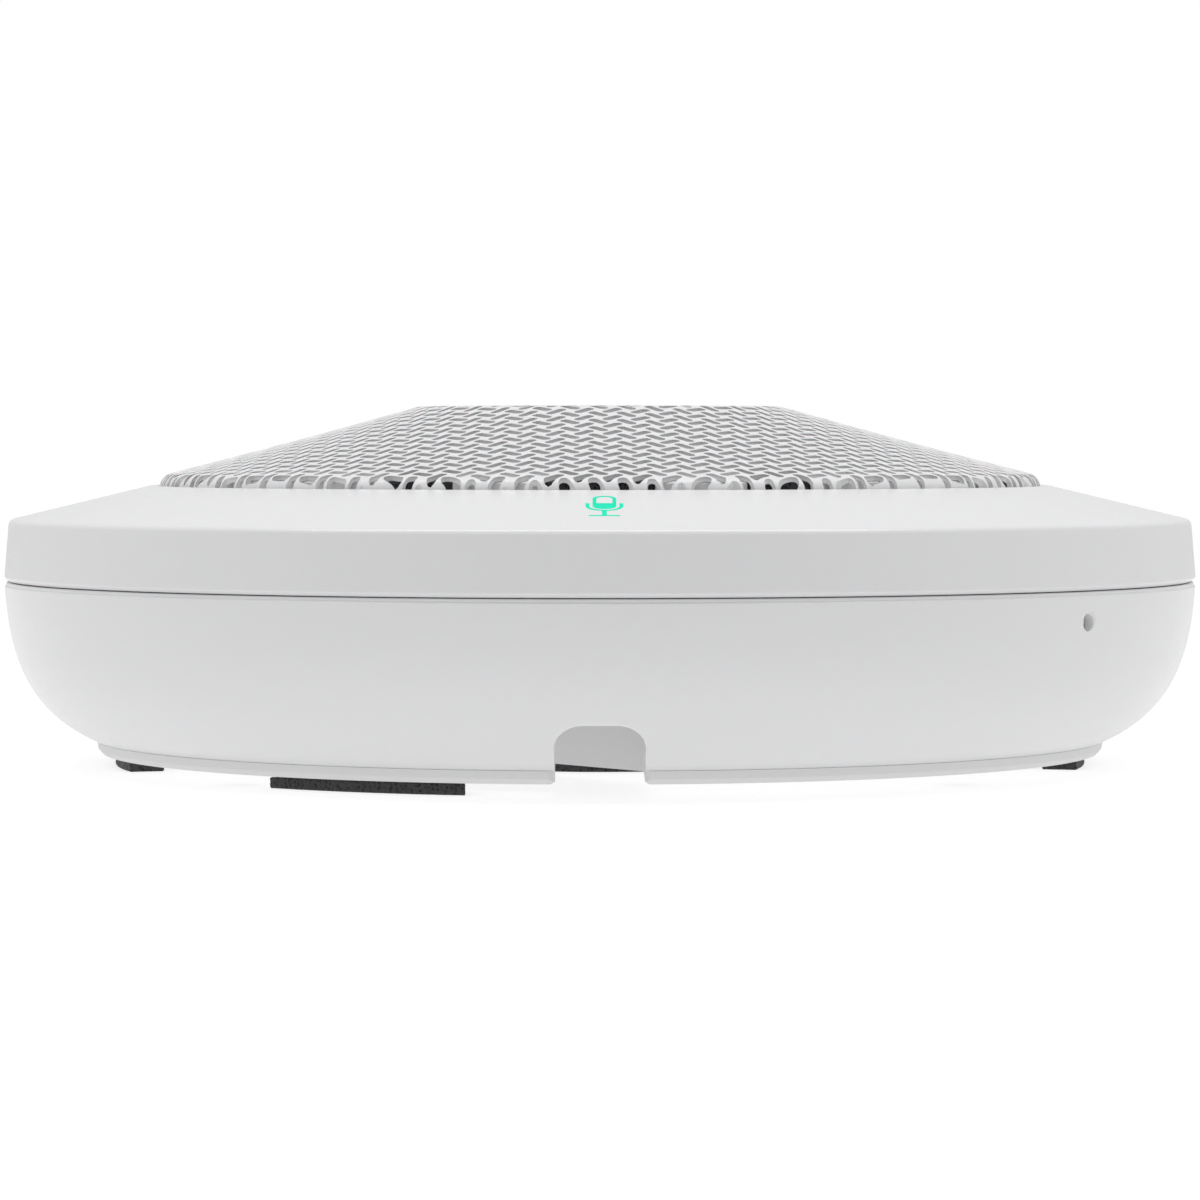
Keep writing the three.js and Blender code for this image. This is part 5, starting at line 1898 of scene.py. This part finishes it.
class Loudspeaker:
    """The driver's visible soft pieces, smooth where the frame's are faceted."""

    def build(self, kit: Kit) -> None:
        """Args:
            kit: The finishing kit.
        """
        section = [(9.7, 54.4), (28.4, 63.0, 1.0), (31.0, 63.0), (31.0, 63.8), (28.0, 63.8, 1.0), (9.7, 55.3)]
        cone = revolved("pulp_cone", fillet(section, 5), 128)
        kit.finish(cone, Slot.CONE_PAPER, ["speaker_cone"], Body.CONE)
        dome = bezier((0.0, 61.0), (5.3, 61.0), (9.7, 59.8), (13.0, 57.3), 14)
        cap = revolved("dust_dome", [*dome, *((max(r - 0.5, 0.0), z - 0.6) for r, z in reversed(dome))], 96)
        kit.finish(cap, Slot.RUBBER, ["dust_cap"], Body.CONE)
        winding = []
        for turn in range(34):
            low = 39.5 + 17.5 * turn / 34.0
            winding += [(9.18, low), (9.3, low + 0.26)]
        coil = revolved("coil_winding", [(8.5, 39.5), *winding, (9.18, 57.0), (8.5, 57.0)], 64, 60.0)
        kit.finish(coil, Slot.COPPER, ["voice_coil"], Body.CONE)
        middle, base = 33.8, 64.1
        outer = [(middle + 2.7 * math.cos(math.radians(a)), base + 2.7 * math.sin(math.radians(a)))
                 for a in range(12, 169, 12)]
        inner = [(middle + 2.2 * math.cos(math.radians(a)), base + 2.2 * math.sin(math.radians(a)))
                 for a in range(180, -1, -12)]
        surround = revolved("half_roll_surround", [(29.0, base), *inner, (38.2, base), (38.2, base + 0.5),
                                                   (36.55, base + 0.5), *outer, (31.05, base + 0.5),
                                                   (29.0, base + 0.5)], 128)
        kit.finish(surround, Slot.RUBBER, ["driver_surround"])
        waves = [(9.7 + 15.1 * i / 48.0, 49.2 + 0.2 * math.sin(2.0 * math.pi * 6.0 * i / 48.0))
                 for i in range(49)]
        spider = revolved("corrugated_spider", [*waves, *((r, z + 0.4) for r, z in reversed(waves))], 128)
        kit.finish(spider, Slot.CONE_PAPER, ["driver_spider"])


def carry_frame_nodes(kit: Kit) -> None:
    """Gives the CAD nodes that stay their materials."""
    kept = {
        Slot.CIRCUIT_BOARD: ("main_board", "mic_board", "symbol_led_board", "reset_board"),
        Slot.BLACK_PLASTIC: ("processor", "reset_switch", "chamber_lid", "chamber_cup"),
        Slot.ALUMINIUM: ("heat_spreader",),
        Slot.STEEL: ("driver_front_plate", "driver_yoke", *(f"microphone_{i}" for i in range(1, 5))),
        Slot.BASKET_STEEL: ("driver_basket",),
        Slot.FERRITE: ("driver_magnet_ring",),
        Slot.BLACK_FOAM: ("driver_gasket",),
        Slot.WHITE_INNER: ("symbol_light_guide", "mic_ribbon_cable"),
        Slot.RUBBER: ("speaker_lead",),
    }
    for slot, names in kept.items():
        for name in names:
            kit.carry(name, slot)


# ---- studio -----------------------------------------------------------------------------------------


@dataclass
class Studio:
    """A plain pale floor, soft light from all round and above, and the camera.

    Light strengths are brightness as seen from the object: from the sides, what is added overhead, and
    what is taken away in front. The floor has one glow as a light and another before the camera.
    """

    camera_distance: float = 0.980
    camera_height: float = 0.066
    camera_pitch: float = 1.945
    lens: float = 144.9
    side_level: float = 0.69
    overhead_gain: float = -0.02
    front_loss: float = 0.27
    lamp_power: float = 8.5
    lamp_length: float = 1.6
    lamp_width: float = 0.36
    floor_size: float = 1.6
    floor_glow: float = 0.63
    floor_white: float = 0.74

    def floor(self) -> None:
        """Lays the floor, a wide pale sheet that is clear from beneath."""
        work = bmesh.new()
        bmesh.ops.create_circle(work, cap_ends=True, segments=96, radius=self.floor_size / MM)
        sheet = link_mesh("studio_floor", work, None)
        material = bpy.data.materials.new("pale_floor")
        material.use_nodes = True
        tree = Tree(material.node_tree)
        shader = tree.tree.nodes["Principled BSDF"]
        where = tree.add("ShaderNodeTexCoord").outputs["Object"]
        noise = tree.add("ShaderNodeTexNoise", {"Vector": where, "Scale": 3.0, "Detail": 3.0})
        tone = tree.mix(noise.outputs["Fac"], (0.33, 0.33, 0.33, 1.0), (0.35, 0.35, 0.35, 1.0))
        tree.tree.links.new(tone, shader.inputs["Base Color"])
        shader.inputs["Roughness"].default_value = 0.9
        shader.inputs["Emission Color"].default_value = (1.0, 1.0, 1.0, 1.0)
        ray = tree.add("ShaderNodeLightPath").outputs["Is Camera Ray"]
        glow = tree.math("ADD", self.floor_glow,
                         tree.math("MULTIPLY", ray, self.floor_white - self.floor_glow))
        tree.tree.links.new(glow, shader.inputs["Emission Strength"])
        beneath = tree.math("MULTIPLY", ray, tree.add("ShaderNodeNewGeometry").outputs["Backfacing"])
        clear = tree.add("ShaderNodeBsdfTransparent")
        surface = tree.add("ShaderNodeMixShader", {0: beneath, 1: shader.outputs[0], 2: clear.outputs[0]})
        tree.tree.links.new(surface.outputs[0], tree.tree.nodes["Material Output"].inputs["Surface"])
        sheet.data.materials.append(material)

    def lamp(self) -> None:
        """Hangs one long soft light over the object, from side to side."""
        data = bpy.data.lights.new("overhead_lamp", "AREA")
        data.shape = "RECTANGLE"
        data.size = self.lamp_length
        data.size_y = self.lamp_width
        data.energy = self.lamp_power
        light = bpy.data.objects.new("overhead_lamp", data)
        light.location = (0.0, -0.05, 1.2)
        bpy.context.scene.collection.objects.link(light)

    def world(self) -> None:
        """Makes the surroundings: pale light by direction, white where the camera looks past the object."""
        world = bpy.data.worlds.new("studio_world")
        world.use_nodes = True
        bpy.context.scene.world = world
        tree = Tree(world.node_tree)
        tree.tree.nodes.clear()
        where = tree.add("ShaderNodeTexCoord").outputs["Generated"]
        direction = tree.add("ShaderNodeSeparateXYZ", {0: where})
        front = tree.math("MAXIMUM", tree.math("MULTIPLY", direction.outputs[1], -1.0), 0.0)
        level = tree.math("ADD", self.side_level,
                          tree.math("MULTIPLY", direction.outputs[2], self.overhead_gain))
        level = tree.math("SUBTRACT", level, tree.math("MULTIPLY", front, self.front_loss))
        seen = tree.add("ShaderNodeBackground", {"Color": (1.0, 1.0, 1.0, 1.0), "Strength": 1.0})
        light = tree.add("ShaderNodeBackground", {"Color": (1.0, 1.0, 1.0, 1.0), "Strength": level})
        ray = tree.add("ShaderNodeLightPath").outputs["Is Camera Ray"]
        mixed = tree.add("ShaderNodeMixShader", {0: ray, 1: light.outputs[0], 2: seen.outputs[0]})
        tree.add("ShaderNodeOutputWorld", {0: mixed.outputs[0]})

    def camera(self) -> None:
        """Places the camera before the notch, a little below the dome's top."""
        data = bpy.data.cameras.new("studio_camera")
        data.lens = self.lens
        data.sensor_width = 36.0
        camera = bpy.data.objects.new("studio_camera", data)
        camera.location = (0.0, -self.camera_distance, self.camera_height)
        camera.rotation_euler = (math.radians(90.0 - self.camera_pitch), 0.0, 0.0)
        bpy.context.scene.collection.objects.link(camera)
        bpy.context.scene.camera = camera

    def build(self) -> None:
        """Builds the whole studio."""
        bpy.context.scene.view_settings.view_transform = "Standard"
        self.floor()
        self.world()
        self.lamp()
        self.camera()


def main() -> None:
    """Builds every sub-assembly in order and reports each piece."""
    logging.basicConfig(level=logging.INFO, format="%(name)s: %(message)s")
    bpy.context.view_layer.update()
    Studio().build()
    kit = Kit(Palette(), frame["nodes"])
    sizes = ShellSizes.from_frame()
    grille = Grille.from_frame()
    BasePlate(sizes).build(kit)
    LowerHousing(sizes).build(kit)
    TopBezel(sizes).build(kit)
    FootPads().build(kit)
    grille.build(kit)
    UnderGrille(grille).build(kit)
    Symbol(sizes).build(kit)
    ResetButton(sizes).build(kit)
    Screws().build(kit)
    Sockets().build(kit)
    Loudspeaker().build(kit)
    carry_frame_nodes(kit)
    LOG.info("%d pieces made", len(kit.made))


if __name__ == "__main__":
    main()
